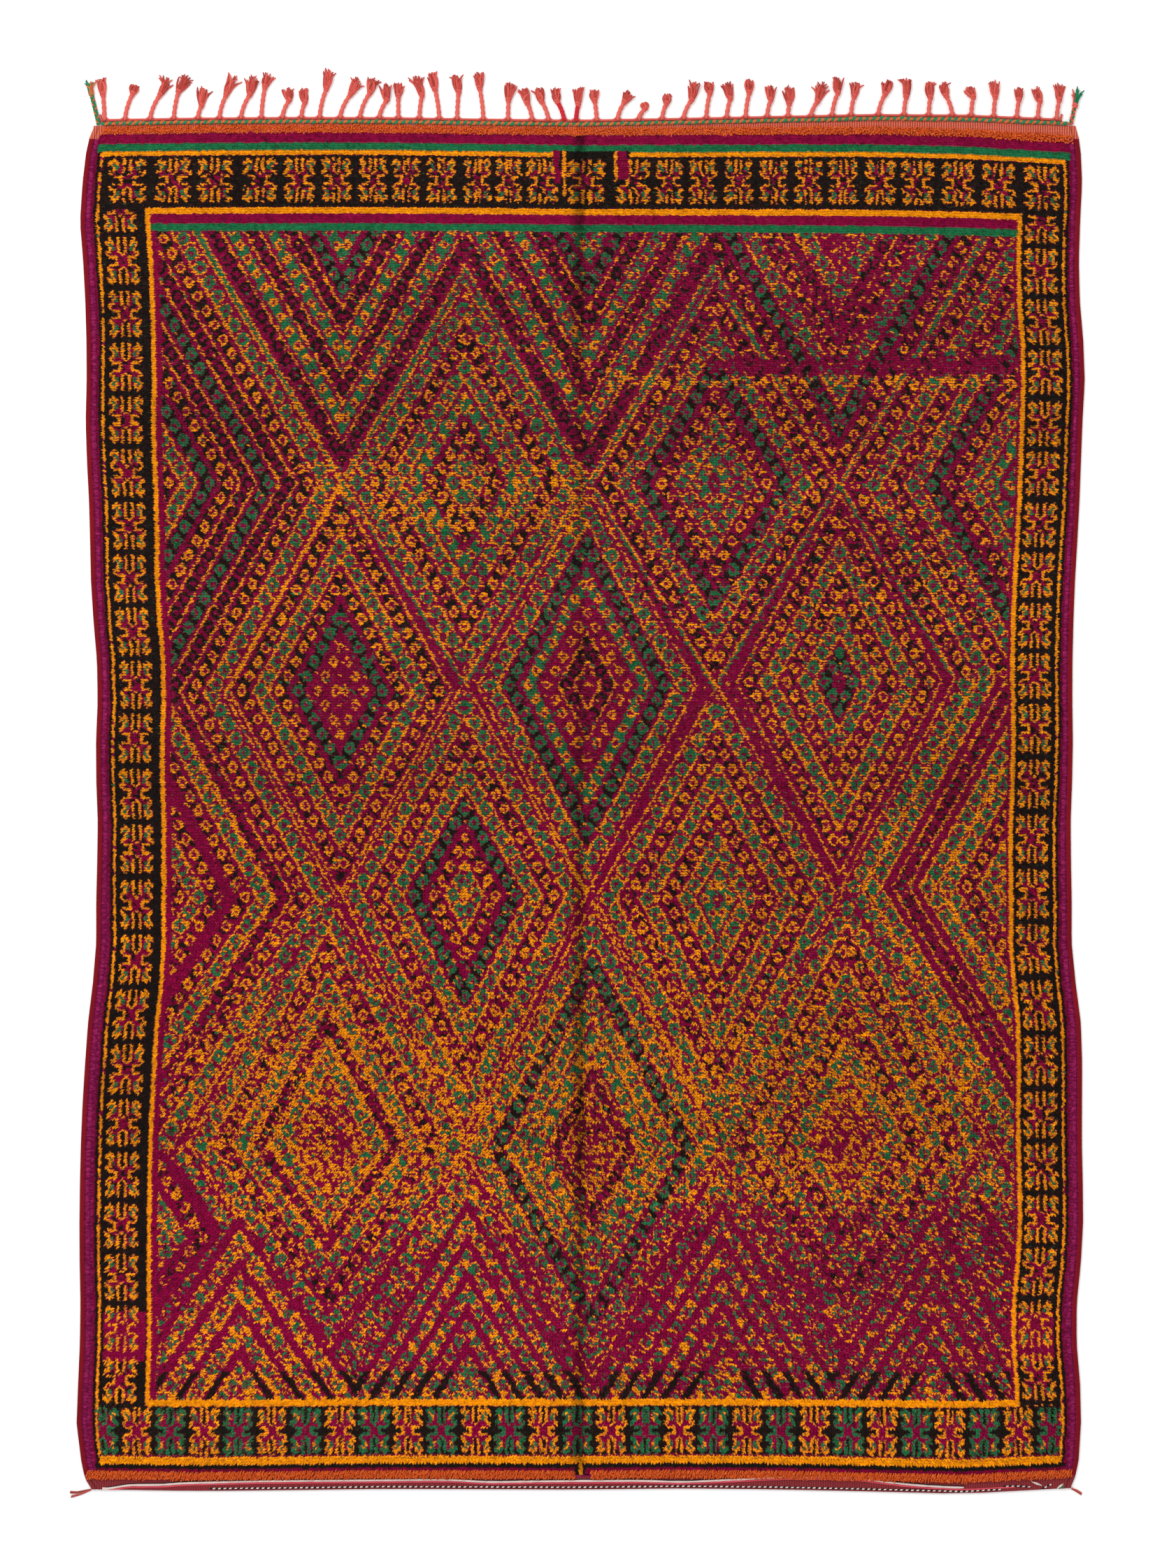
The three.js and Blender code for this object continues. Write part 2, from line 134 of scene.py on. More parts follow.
reach = FLOOR_SIZE / 2
floor_mesh = bpy.data.meshes.new("studio_floor")
floor_corners = [(-reach, -reach), (reach, -reach), (reach, reach), (-reach, reach)]
floor_mesh.from_pydata([(x, y, -FLOOR_DROP) for x, y in floor_corners], [], [(0, 1, 2, 3)])
floor = new_object("studio_floor", floor_mesh, floor_paint)


# Ground weave: one wool cloth, woven on the loom with the pile knotted into it. It shows as two
# overcast cords along each side, a ribbed strip below the twining and a flat-woven lower end.
MM = 0.001
TOP_END = 1256.0
BOTTOM_END = -1347.0
WAVE_REACH = 320.0
GROUND_HEIGHT = 3.0
FLAT_WEAVE_HEIGHT = 4.0
SELVEDGE_CORD = 10.3
SELVEDGE_CORDS = 2
SELVEDGE_BASE = 2.2
SELVEDGE_RISE = 3.8
SELVEDGE_WIDTH = SELVEDGE_CORD * SELVEDGE_CORDS
FLAT_WEAVE_TOP = 18.0
FLAT_WEAVE_BOTTOM = 21.0
CORD_PROFILE = np.array([0, 0.08, 0.25, 0.5, 0.75, 0.92])
PAST_CORDS = 3.0
END_STEPS = (0, 2, 4, 9, 14)
ENDS_REACH = 30.0
GROUND_ROW = 24.0
GROUND_COLUMNS = 24
FACES_SIDEWAYS = 0.7
FACES_LEVEL = 0.05
ON_FLOOR = 0.0001

# The cloth's outline, from the upright faces round the solid
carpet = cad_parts["knotted_carpet"].data
outline = {"left": [], "right": [], "top": [], "bottom": []}
for face in carpet.polygons:
    across, along, upright = face.normal
    if abs(across) > FACES_SIDEWAYS:
        side = "left" if across < 0 else "right"
    else:
        side = "top" if along > FACES_SIDEWAYS else "bottom"
    corners = [carpet.vertices[i].co for i in face.vertices]
    if abs(upright) < FACES_LEVEL:
        outline[side] += [corner[:2] for corner in corners if corner.z < ON_FLOOR]


def edge_line(side, along, across):
    """Points of one edge in millimetres, sorted along it"""
    points = np.unique(np.round(np.array(outline[side]) / MM, 2), axis=0)
    points = points[np.argsort(points[:, along])]
    return points[:, along], points[:, across]


LEFT_LINE = edge_line("left", 1, 0)
RIGHT_LINE = edge_line("right", 1, 0)
TOP_LINE = edge_line("top", 0, 1)
BOTTOM_LINE = edge_line("bottom", 0, 1)


def left_edge(level):
    return np.interp(level, *LEFT_LINE)


def right_edge(level):
    return np.interp(level, *RIGHT_LINE)


def waved(x, level):
    """A level along the warp with the waves of the two ends, which fade out into the cloth"""
    near_top = np.clip(1 - (TOP_END - level) / WAVE_REACH, 0, None)
    near_bottom = np.clip(1 - (level - BOTTOM_END) / WAVE_REACH, 0, None)
    top_wave = np.interp(x, *TOP_LINE) - TOP_END
    bottom_wave = np.interp(x, *BOTTOM_LINE) - BOTTOM_END
    return level + top_wave * near_top + bottom_wave * near_bottom


def ground_height(from_side, from_top, from_bottom):
    """Height of the cloth: two round cords at each side, flat weave at the ends, ground between"""
    across_cord = (from_side % SELVEDGE_CORD) / SELVEDGE_CORD * 2 - 1
    cord = SELVEDGE_BASE + SELVEDGE_RISE * np.sqrt(np.clip(1 - across_cord**2, 0, 1))
    ends = (from_top < FLAT_WEAVE_TOP) | (from_bottom < FLAT_WEAVE_BOTTOM)
    height = np.where(ends, FLAT_WEAVE_HEIGHT, GROUND_HEIGHT)
    return np.where(from_side < SELVEDGE_WIDTH, cord, height)


def grid_slab(name, x, y, z):
    """Closed mesh between a grid of top points, in millimetres, and the floor"""
    rows, columns = x.shape
    top = np.stack([x, y, z], axis=-1).reshape(-1, 3)
    base = top * [1, 1, 0]
    index = np.arange(rows * columns).reshape(rows, columns)
    a, b = index[:-1, :-1], index[:-1, 1:]
    c, d = index[1:, 1:], index[1:, :-1]
    upper = np.stack([a, b, c, d], axis=-1).reshape(-1, 4)
    lower = upper[:, ::-1] + rows * columns
    rim = np.concatenate([index[0, :-1], index[:-1, -1], index[-1, :0:-1], index[:0:-1, 0]])
    after = np.roll(rim, -1)
    wall = np.stack([rim, rim + rows * columns, after + rows * columns, after], axis=-1)
    mesh = bpy.data.meshes.new(name)
    faces = np.concatenate([upper, lower, wall])
    mesh.from_pydata(np.concatenate([top, base]) * MM, [], faces.tolist())
    mesh.shade_smooth()
    return mesh


def add_values(mesh, kind, domain="POINT", **values):
    """Named values stored on a mesh"""
    for name, value in values.items():
        attribute = mesh.attributes.new(name, kind, domain)
        slot = "vector" if kind == "FLOAT_VECTOR" else "value"
        attribute.data.foreach_set(slot, np.ascontiguousarray(value, np.float32).ravel())


side_steps = np.concatenate([
    CORD_PROFILE * SELVEDGE_CORD + i * SELVEDGE_CORD for i in range(SELVEDGE_CORDS)])
side_steps = np.append(side_steps, [SELVEDGE_WIDTH, SELVEDGE_WIDTH + PAST_CORDS])
end_steps = np.array([
    *END_STEPS, FLAT_WEAVE_TOP - 0.5, FLAT_WEAVE_BOTTOM - 0.5, FLAT_WEAVE_BOTTOM + 2])
inner_rows = np.arange(BOTTOM_END + ENDS_REACH, TOP_END - ENDS_REACH, GROUND_ROW)
row_levels = np.concatenate([BOTTOM_END + end_steps, inner_rows, (TOP_END - end_steps)[::-1]])[:, None]
low_side, high_side = left_edge(row_levels), right_edge(row_levels)
middle = np.linspace(0, 1, GROUND_COLUMNS + 2)[1:-1]
inner_low, inner_high = low_side + side_steps[-1], high_side - side_steps[-1]
ground_x = np.concatenate([
    low_side + side_steps,
    inner_low + middle * (inner_high - inner_low),
    high_side - side_steps[::-1],
], axis=1)
row_levels = np.broadcast_to(row_levels, ground_x.shape)
to_side = np.minimum(ground_x - low_side, high_side - ground_x)
to_top, to_bottom = TOP_END - row_levels, row_levels - BOTTOM_END
ground_y = waved(ground_x, row_levels)
ground_mesh = grid_slab("woven_ground", ground_x, ground_y, ground_height(to_side, to_top, to_bottom))
add_values(
    ground_mesh, "FLOAT",
    from_side=np.tile(to_side.ravel(), 2),
    from_top=np.tile(to_top.ravel(), 2),
    from_bottom=np.tile(to_bottom.ravel(), 2),
)

# Weft-faced wool weave: fine ribs across the cords, red at the very edge, plum beside the pile. Painted
# shade lies between the ribs, and painted pink highlights on the plum ribs
RIB_PITCH = 2.6
STRIP_RIB_PITCH = 4.6
STREAK = 3.4
STREAK_SQUASH = (0.3, 1.0, 1.0)
PATCH = 1000 / 9
RAGGED = 2.4
DYE_BLUR = 1.5
STRIP_FROM, STRIP_TO = 24.0, 26.0
WAVES_PER_UNIT = 0.31416
ground_wool, tree, output = new_material("weft_faced_wool_weave")
place = add_node(tree, "ShaderNodeTexCoord").outputs["Object"]
sides, tops, ends = [
    add_node(tree, "ShaderNodeAttribute", {"attribute_name": name}).outputs["Fac"]
    for name in ("from_side", "from_top", "from_bottom")]
ribs = add_node(tree, "ShaderNodeTexWave", {"bands_direction": "Y"}, {
    "Vector": place, "Scale": WAVES_PER_UNIT / (RIB_PITCH * MM), "Distortion": 1.5, "Detail": 2.0,
    "Detail Scale": 40.0}).outputs["Fac"]
strip_ribs = add_node(tree, "ShaderNodeTexWave", {"bands_direction": "X"}, {
    "Vector": place, "Scale": WAVES_PER_UNIT / (STRIP_RIB_PITCH * MM), "Distortion": 2.0, "Detail": 2.0,
    "Detail Scale": 20.0}).outputs["Fac"]
patches = add_node(tree, "ShaderNodeTexNoise", inputs={
    "Vector": place, "Scale": 1 / (PATCH * MM), "Detail": 3.0}).outputs["Fac"]
red = add_node(tree, "ShaderNodeMix", {"data_type": "RGBA"}, {
    0: patches, 6: linear("#6E0A18"), 7: linear("#94161E")}).outputs[2]
ragged = add_node(tree, "ShaderNodeMath", {"operation": "MULTIPLY_ADD"}, {
    0: ribs, 1: RAGGED, 2: sides}).outputs[0]
inwards = add_node(tree, "ShaderNodeMapRange", inputs={
    0: ragged, "From Min": SELVEDGE_CORD - DYE_BLUR, "From Max": SELVEDGE_CORD + DYE_BLUR}).outputs[0]
squashed = add_node(tree, "ShaderNodeVectorMath", {"operation": "MULTIPLY"}, {
    0: place, 1: STREAK_SQUASH}).outputs[0]
# Painted highlights: pink streaks along the plum ribs, where light catches them
streaks = add_node(tree, "ShaderNodeTexNoise", inputs={
    "Vector": squashed, "Scale": 1 / (STREAK * MM), "Detail": 2.0}).outputs["Fac"]
painted_rib_highlight = add_node(tree, "ShaderNodeMapRange", inputs={
    0: streaks, "From Min": 0.42, "From Max": 0.75}).outputs[0]
plum = add_node(tree, "ShaderNodeMix", {"data_type": "RGBA"}, {
    0: painted_rib_highlight, 6: linear("#72083E"), 7: linear("#AE2C66")}).outputs[2]
edge = add_node(tree, "ShaderNodeMix", {"data_type": "RGBA"}, {0: inwards, 6: red, 7: plum}).outputs[2]
strip = add_node(tree, "ShaderNodeMix", {"data_type": "RGBA"}, {
    0: strip_ribs, 6: linear("#A33A26"), 7: linear("#F08068")}).outputs[2]
at_top = add_node(tree, "ShaderNodeMapRange", inputs={
    0: tops, "From Min": STRIP_FROM, "From Max": STRIP_TO, "To Min": 1.0, "To Max": 0.0}).outputs[0]
with_top = add_node(tree, "ShaderNodeMix", {"data_type": "RGBA"}, {0: at_top, 6: edge, 7: strip}).outputs[2]
flat = add_node(tree, "ShaderNodeMix", {"data_type": "RGBA"}, {
    0: strip_ribs, 6: linear("#6A2226"), 7: linear("#90363A")}).outputs[2]
at_bottom = add_node(tree, "ShaderNodeMapRange", inputs={
    0: ends, "From Min": FLAT_WEAVE_BOTTOM + 2, "From Max": FLAT_WEAVE_BOTTOM + 4,
    "To Min": 1.0, "To Max": 0.0}).outputs[0]
# Painted shade: the colour is darker between the ribs, in their grooves
rib_groove_shade = add_node(tree, "ShaderNodeMapRange", inputs={0: ribs, "To Min": 0.62, "To Max": 1.0}).outputs[0]
ribbed = add_node(tree, "ShaderNodeMix", {"data_type": "RGBA", "blend_type": "MULTIPLY"}, {
    0: 1.0, 6: with_top, 7: rib_groove_shade}).outputs[2]
shade = add_node(tree, "ShaderNodeMix", {"data_type": "RGBA"}, {0: at_bottom, 6: ribbed, 7: flat}).outputs[2]
relief = add_node(tree, "ShaderNodeBump", inputs={
    "Height": ribs, "Strength": 0.6, "Distance": 0.6 * MM}).outputs[0]
surface = add_node(tree, "ShaderNodeBsdfPrincipled", inputs={
    "Base Color": shade, "Roughness": 0.95, "Specular IOR Level": 0.1, "Normal": relief})
tree.links.new(surface.outputs[0], output.inputs["Surface"])

ground = new_object("woven_ground", ground_mesh, ground_wool)
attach(ground, "root")
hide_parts("knotted_carpet")


# Twined edge: two plied yarns, one green and one orange, twisted round the warp ends to lock the
# last rows of the weave. Each yarn comes up in turn, so the cord looks beaded in two colours.
TWINING_TURN = 13.0
TWINING_WIDTH = 8.0
TWINING_YARN = 3.1
TWINING_OFFSET = 2.2
TWINING_HEIGHT = 5.8
TWINING_ASIDE = 0.42
TWINING_FLAT = 0.35
TWINING_WANDER = 1.2
TWINING_POINTS = 200
DRIFT_SMOOTHING = 4
STEPS_PER_TURN = 8
PLUMP_SPREAD = 0.1
PLUMP_LIMITS = (0.8, 1.2)
PIECE_GAP = 0.3
TONE_SPREAD = 0.13
TONE_RANGE = (0.1, 0.9)
CELL_SHARE = 0.42

# Single wool fibres are too fine to show, so the grain is drawn about as coarse as a ply
FIBRE = 0.9

rng = np.random.default_rng(1907)


def dyed_wool(name, dark, middle, light):
    """Dyed wool yarn: each strand or tuft a little lighter or darker, with a fine fibre grain"""
    material, tree, output = new_material(name)
    place = add_node(tree, "ShaderNodeTexCoord").outputs["Object"]
    tone = add_node(tree, "ShaderNodeAttribute", {"attribute_name": "tone"}).outputs["Fac"]
    fibre = add_node(tree, "ShaderNodeTexNoise", inputs={
        "Vector": place, "Scale": 1 / (FIBRE * MM), "Detail": 2.0}).outputs["Fac"]
    mixed = add_node(tree, "ShaderNodeMath", {"operation": "MULTIPLY_ADD"}, {
        0: fibre, 1: 0.5, 2: -0.25}).outputs[0]
    mixed = add_node(tree, "ShaderNodeMath", {"operation": "ADD"}, {0: mixed, 1: tone}).outputs[0]
    ramp = add_node(tree, "ShaderNodeValToRGB", inputs={0: mixed})
    ramp.color_ramp.elements[0].color = linear(dark)
    ramp.color_ramp.elements[1].color = linear(light)
    ramp.color_ramp.elements.new(0.5).color = linear(middle)
    relief = add_node(tree, "ShaderNodeBump", inputs={
        "Height": fibre, "Strength": 0.5, "Distance": 0.3 * MM}).outputs[0]
    surface = add_node(tree, "ShaderNodeBsdfPrincipled", inputs={
        "Base Color": ramp.outputs[0], "Roughness": 0.9, "Sheen Weight": 0.04,
        "Sheen Roughness": 0.5, "Specular IOR Level": 0.2, "Normal": relief})
    tree.links.new(surface.outputs[0], output.inputs["Surface"])
    return material


def node_group(name, sockets):
    """An empty geometry tree with a geometry in and out and named inputs; returns it with its ends"""
    tree = bpy.data.node_groups.new(name, "GeometryNodeTree")
    tree.interface.new_socket("Geometry", in_out="INPUT", socket_type="NodeSocketGeometry")
    for label, kind in sockets.items():
        tree.interface.new_socket(label, in_out="INPUT", socket_type=kind)
    tree.interface.new_socket("Geometry", in_out="OUTPUT", socket_type="NodeSocketGeometry")
    return tree, add_node(tree, "NodeGroupInput"), add_node(tree, "NodeGroupOutput")


def grown(piece, tree, **values):
    """The piece with what the tree grows on it, as a plain mesh with no modifier"""
    modifier = piece.modifiers.new(tree.name, "NODES")
    modifier.node_group = tree
    for item in tree.interface.items_tree:
        if item.in_out == "INPUT" and item.name in values:
            modifier[item.identifier] = values[item.name]
    evaluated = piece.evaluated_get(bpy.context.evaluated_depsgraph_get())
    mesh = bpy.data.meshes.new_from_object(evaluated)
    piece.modifiers.remove(modifier)
    bare = piece.data
    piece.data = mesh
    bpy.data.meshes.remove(bare)
    mesh.name = piece.name
    return piece


# Spun yarn: a round section swept along every line of a wire mesh, as thick as its points say
yarn_tree, start, end = node_group("spun_yarn", {"Sides": "NodeSocketInt", "Wool": "NodeSocketMaterial"})
curves = add_node(yarn_tree, "GeometryNodeMeshToCurve", inputs={"Mesh": start.outputs["Geometry"]}).outputs[0]
section = add_node(yarn_tree, "GeometryNodeCurvePrimitiveCircle", inputs={
    "Resolution": start.outputs["Sides"], "Radius": 1.0}).outputs[0]
radius_here = add_node(yarn_tree, "GeometryNodeInputNamedAttribute", inputs={
    "Name": "yarn_radius"}).outputs[0]
tubes = add_node(yarn_tree, "GeometryNodeCurveToMesh", inputs={
    "Curve": curves, "Profile Curve": section, "Scale": radius_here, "Fill Caps": True}).outputs[0]
smooth_tubes = add_node(yarn_tree, "GeometryNodeSetShadeSmooth", inputs={0: tubes}).outputs[0]
one_mesh = add_node(yarn_tree, "GeometryNodeRealizeInstances", inputs={0: smooth_tubes}).outputs[0]
dressed = add_node(yarn_tree, "GeometryNodeSetMaterial", inputs={
    0: one_mesh, "Material": start.outputs["Wool"]}).outputs[0]
yarn_tree.links.new(dressed, end.inputs[0])


def lay_faces_apart(mesh):
    """A map that gives each face a small cell of its own, for baking the yarn's colour"""
    count = len(mesh.polygons)
    sides = np.empty(count, np.int32)
    mesh.polygons.foreach_get("loop_total", sides)
    across = math.ceil(math.sqrt(count))
    face = np.repeat(np.arange(count), sides)
    turn = np.arange(len(mesh.loops)) - np.repeat(np.cumsum(sides) - sides, sides)
    angle = 2 * math.pi * (turn + 0.5) / np.repeat(sides, sides)
    cell = np.stack([face % across, face // across], axis=-1) + 0.5
    points = (cell + CELL_SHARE * np.stack([np.cos(angle), np.sin(angle)], axis=-1)) / across
    layer = mesh.uv_layers.new(name="OFBake")
    layer.uv.foreach_set("vector", points.astype(np.float32).ravel())


def yarn_piece(name, strands, wool, sides, tones=None):
    """One piece from many strands, each an array of points and of radii in millimetres"""
    counts = [len(points) for points, radius in strands]
    firsts = np.cumsum(counts) - counts
    edges = np.concatenate([
        np.stack([np.arange(n - 1), np.arange(1, n)], axis=-1) + first
        for n, first in zip(counts, firsts)])
    mesh = bpy.data.meshes.new(name + "_lines")
    points = np.concatenate([points for points, radius in strands])
    mesh.from_pydata(points * MM, edges.tolist(), [])
    radii = np.concatenate([np.broadcast_to(radius, len(points)) for points, radius in strands])
    if tones is None:
        tones = np.clip(rng.normal(0.5, TONE_SPREAD, len(strands)), *TONE_RANGE)
    add_values(mesh, "FLOAT", yarn_radius=radii * MM, tone=np.repeat(tones, counts))
    piece = grown(new_object(name, mesh), yarn_tree, Sides=sides, Wool=wool)
    lay_faces_apart(piece.data)
    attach(piece, "root")
    return piece


def twisted(path, turn, offset, height, ply, flat=1.0):
    """One of two plies of a cord along a flat path: it winds round it, less far aside where it is flat"""
    steps = np.hypot(*np.diff(path, axis=0).T)
    run = np.concatenate([[0], np.cumsum(steps)])
    length = np.arange(0, run[-1], turn / STEPS_PER_TURN)
    centre = np.stack([np.interp(length, run, path[:, i]) for i in (0, 1)], axis=-1)
    heading = np.gradient(centre, axis=0)
    heading /= np.hypot(*heading.T)[:, None]
    aside = np.stack([heading[:, 1], -heading[:, 0]], axis=-1)
    angle = 2 * math.pi * (length / turn + ply / 2)
    level = height + offset * np.sin(angle)
    return np.column_stack([centre + aside * (flat * offset * np.cos(angle))[:, None], level])


def top_edge(x):
    return np.interp(x, *TOP_LINE)


green_yarn = dyed_wool("green_dyed_wool_yarn", "#0C4A30", "#18744C", "#2A9464")
orange_yarn = dyed_wool("orange_dyed_wool_yarn", "#963C1C", "#C86234", "#DE7E4C")
twining_low, twining_high = [corner.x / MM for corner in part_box("twined_edge")]
twining_x = np.linspace(twining_low, twining_high, TWINING_POINTS)
twining_path = np.column_stack([twining_x, top_edge(twining_x) + PIECE_GAP + TWINING_ASIDE * TWINING_WIDTH])
for ply, (colour, wool) in enumerate({"green": green_yarn, "orange": orange_yarn}.items()):
    strand = twisted(twining_path, TWINING_TURN, TWINING_OFFSET, TWINING_HEIGHT, ply, flat=TWINING_FLAT)
    drift = rng.normal(0, TWINING_WANDER, len(strand))
    strand[:, :2] += np.convolve(drift, np.ones(DRIFT_SMOOTHING) / DRIFT_SMOOTHING, "same")[:, None]
    plump = TWINING_YARN * np.clip(rng.normal(1, PLUMP_SPREAD, len(strand)), *PLUMP_LIMITS)
    twining = yarn_piece("twined_edge_" + colour, [(strand, plump)], wool, sides=5)
    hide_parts("twined_edge")


# Warp fringe: the coral warp ends beyond the twining. They are drawn together in bunches, each one
# twisted into a stem and tied in an overhand knot, with the cut ends in a full tuft beyond it.
Tassel = namedtuple("Tassel", "root stem tuft")
TASSELS = [
    Tassel(-901, (-3, 48), (-2, 33)), Tassel(-862, (15, 49), (5, 18)), Tassel(-814, (19, 46), (18, 34)),
    Tassel(-769, (9, 51), (18, 33)), Tassel(-723, (7, 24), (4, 39)), Tassel(-682, (13, 44), (16, 40)),
    Tassel(-641, (17, 44), (6, 40)), Tassel(-602, (7, 59), (10, 27)), Tassel(-562, (13, 33), (-4, 25)),
    Tassel(-526, (7, 29), (-5, 28)), Tassel(-491, (13, 55), (4, 40)), Tassel(-452, (20, 44), (19, 31)),
    Tassel(-414, (19, 47), (10, 31)), Tassel(-377, (14, 33), (-3, 34)), Tassel(-341, (0, 42), (2, 27)),
    Tassel(-301, (5, 43), (-12, 43)), Tassel(-263, (-8, 55), (-5, 35)), Tassel(-229, (3, 51), (-5, 39)),
    Tassel(-179, (-7, 59), (-1, 33)), Tassel(-132, (1, 37), (5, 35)), Tassel(-86, (-9, 31), (-9, 31)),
    Tassel(-55, (-13, 35), (-7, 28)), Tassel(-25, (-13, 35), (-4, 28)), Tassel(-2, (4, 30), (1, 35)),
    Tassel(37, (-4, 37), (-1, 24)), Tassel(77, (13, 33), (13, 21)), Tassel(118, (12, 21), (-3, 12)),
    Tassel(162, (8, 29), (4, 20)), Tassel(203, (15, 35), (8, 39)), Tassel(246, (7, 47), (-4, 25)),
    Tassel(285, (7, 36), (-7, 32)), Tassel(321, (7, 47), (1, 27)), Tassel(362, (7, 32), (-3, 29)),
    Tassel(402, (2, 24), (2, 37)), Tassel(446, (12, 27), (12, 40)), Tassel(486, (11, 43), (-3, 33)),
    Tassel(522, (6, 35), (6, 29)), Tassel(574, (13, 39), (8, 28)), Tassel(623, (4, 34), (2, 37)),
    Tassel(670, (3, 33), (-4, 33)), Tassel(715, (-12, 37), (-5, 27)), Tassel(751, (4, 35), (-12, 20)),
    Tassel(794, (3, 37), (-5, 33)), Tassel(838, (4, 33), (0, 25)), Tassel(878, (4, 32), (-11, 29)),
    Tassel(914, (5, 37), (-1, 33)),
]
FRINGE_GAP = 0.42
ROOT_IN_STRIP = 3.0
STEM_TURN = 7.5
STEM_YARN = 3.6
STEM_OFFSET = 0.95
STEM_HEIGHT = 4.5
STEM_BEND = (0.15, 0.5)
STEM_POINTS = 12
# Tones of the coral yarn: the stems and roots lighter, the tufts darker, a painted shade in the dense bunch
# of ends, and each end lighter or darker at random around that
STEM_TONES = [0.62, 0.66]
KNOT_YARN = 2.9
KNOT_RADIUS = 3.4
KNOT_LENGTH = 6.6
KNOT_LIFT = 0.7
KNOT_SQUASH = 0.8
KNOT_POINTS = 16
KNOT_TONE = 0.5
TUFT_ENDS = 24
TUFT_FAN = 0.16
TUFT_FOOT = 3.4
TUFT_BULGE = 4.6
TUFT_YARN = 1.9
TUFT_TAPER = np.array([1, 1, 1, 0.95, 0.6])
TUFT_TONE, TUFT_TONE_SPREAD = 0.32, 0.17
TUFT_TONE_RANGE = (0.05, 0.8)
END_TURN = 0.07
END_BEND = 0.2
END_LENGTHS = (0.68, 1.0)
END_LIFTS = (-2.2, 3.2)
END_SINK = 0.6
ROOT_REACH = 9.0
ROOT_SHARE = 2.2
ROOT_STEPS = np.array([0, 0.16, 0.5, 1])
ROOT_RISE = np.array([13, 8, 4.2, 2.2])
ROOT_YARN, ROOT_HEIGHT, ROOT_TONE = 2.1, 3.0, 0.6
STRIP_YARN, STRIP_HEIGHT, STRIP_TONE = 2.0, 2.2, 0.35
STRIP_RISE = 0.9
STRIP_POINTS = 5
PAST_FIRST_ROOT, PAST_LAST_ROOT = 8, 10
WRAPPED_ROOTS = (-25, -2)


def stem_path(tassel):
    """The stem's line: square out of the strip, leaning over towards its knot"""
    strip_foot = top_edge(tassel.root) + TWINING_WIDTH + PIECE_GAP + FRINGE_GAP
    foot = np.array([tassel.root, strip_foot + ROOT_IN_STRIP])
    knot = foot + tassel.stem
    bend = foot + np.array(tassel.stem) * STEM_BEND
    t = np.linspace(0, 1, STEM_POINTS)[:, None]
    return foot * (1 - t) ** 2 + 2 * bend * t * (1 - t) + knot * t**2


def overhand_knot(path):
    """A turn and a half of yarn round the end of the stem"""
    along = (path[-1] - path[-2]) / np.hypot(*(path[-1] - path[-2]))
    aside = np.array([along[1], -along[0]])
    angle = np.linspace(0, 3 * math.pi, KNOT_POINTS)
    run = np.linspace(-KNOT_LENGTH / 2, KNOT_LENGTH / 2, KNOT_POINTS)
    flat = path[-1] + np.outer(run, along) + np.outer(KNOT_RADIUS * np.cos(angle), aside)
    return np.column_stack([flat, STEM_HEIGHT + KNOT_LIFT + KNOT_RADIUS * KNOT_SQUASH * np.sin(angle)])


def cut_ends(foot, run, count, fan, bulge=0.0):
    """Yarn ends that leave a knot together, swell out and lie over the floor"""
    strands = []
    heading = math.atan2(run[1], run[0])
    reach = math.hypot(*run)
    for spread in np.linspace(-1, 1, count):
        turn = heading + spread * fan / 2 + rng.normal(0, END_TURN)
        length = reach * rng.uniform(*END_LENGTHS) * (1 - 0.1 * spread**2)
        t = np.linspace(0, 1, len(TUFT_TAPER))
        bend = rng.normal(0, END_BEND) * t**2
        from_middle = spread * (TUFT_FOOT + bulge * np.sin(0.8 * math.pi * t))
        flat_x = foot[0] + length * t * np.cos(turn + bend) + from_middle * math.sin(heading)
        flat_y = foot[1] + length * t * np.sin(turn + bend) - from_middle * math.cos(heading)
        level = STEM_HEIGHT + rng.uniform(*END_LIFTS) * np.sin(t * math.pi * 0.7) - END_SINK * t
        points = np.column_stack([flat_x, flat_y, np.clip(level, TUFT_YARN, None)])
        strands.append((points, TUFT_YARN * TUFT_TAPER))
    return strands


coral_strands = []
coral_tones = []
wrapped_strands = []
for tassel in TASSELS:
    path = stem_path(tassel)
    bunch = wrapped_strands if tassel.root in WRAPPED_ROOTS else coral_strands
    bunch += [(twisted(path, STEM_TURN, STEM_OFFSET, STEM_HEIGHT, ply), STEM_YARN) for ply in (0, 1)]
    coral_strands.append((overhand_knot(path), KNOT_YARN))
    coral_strands += cut_ends(path[-1], tassel.tuft, TUFT_ENDS, TUFT_FAN, TUFT_BULGE)
    coral_tones += STEM_TONES if bunch is coral_strands else []
    tuft_tones = rng.normal(TUFT_TONE, TUFT_TONE_SPREAD, TUFT_ENDS)
    coral_tones += [KNOT_TONE, *np.clip(tuft_tones, *TUFT_TONE_RANGE)]

# The strip between the roots: each warp end runs along the twining and turns up into its stem
roots = [tassel.root for tassel in TASSELS]
roots = [roots[0] - PAST_FIRST_ROOT, *roots, roots[-1] + PAST_LAST_ROOT]
strip_base = TWINING_WIDTH + PIECE_GAP + FRINGE_GAP
for near, far in zip(roots[:-1], roots[1:]):
    reach_out = min(ROOT_REACH, (far - near) / ROOT_SHARE)
    arc_x = np.concatenate([near + ROOT_STEPS * reach_out, far - ROOT_STEPS[::-1] * reach_out])
    arc_y = top_edge(arc_x) + strip_base + np.concatenate([ROOT_RISE, ROOT_RISE[::-1]])
    arc = np.column_stack([arc_x, arc_y, np.full(len(arc_x), ROOT_HEIGHT)])
    base_x = np.linspace(near, far, STRIP_POINTS)
    base_y = top_edge(base_x) + strip_base + STRIP_RISE
    base_line = np.column_stack([base_x, base_y, np.full(STRIP_POINTS, STRIP_HEIGHT)])
    coral_strands += [(arc, ROOT_YARN), (base_line, STRIP_YARN)]
    coral_tones += [ROOT_TONE, STRIP_TONE]

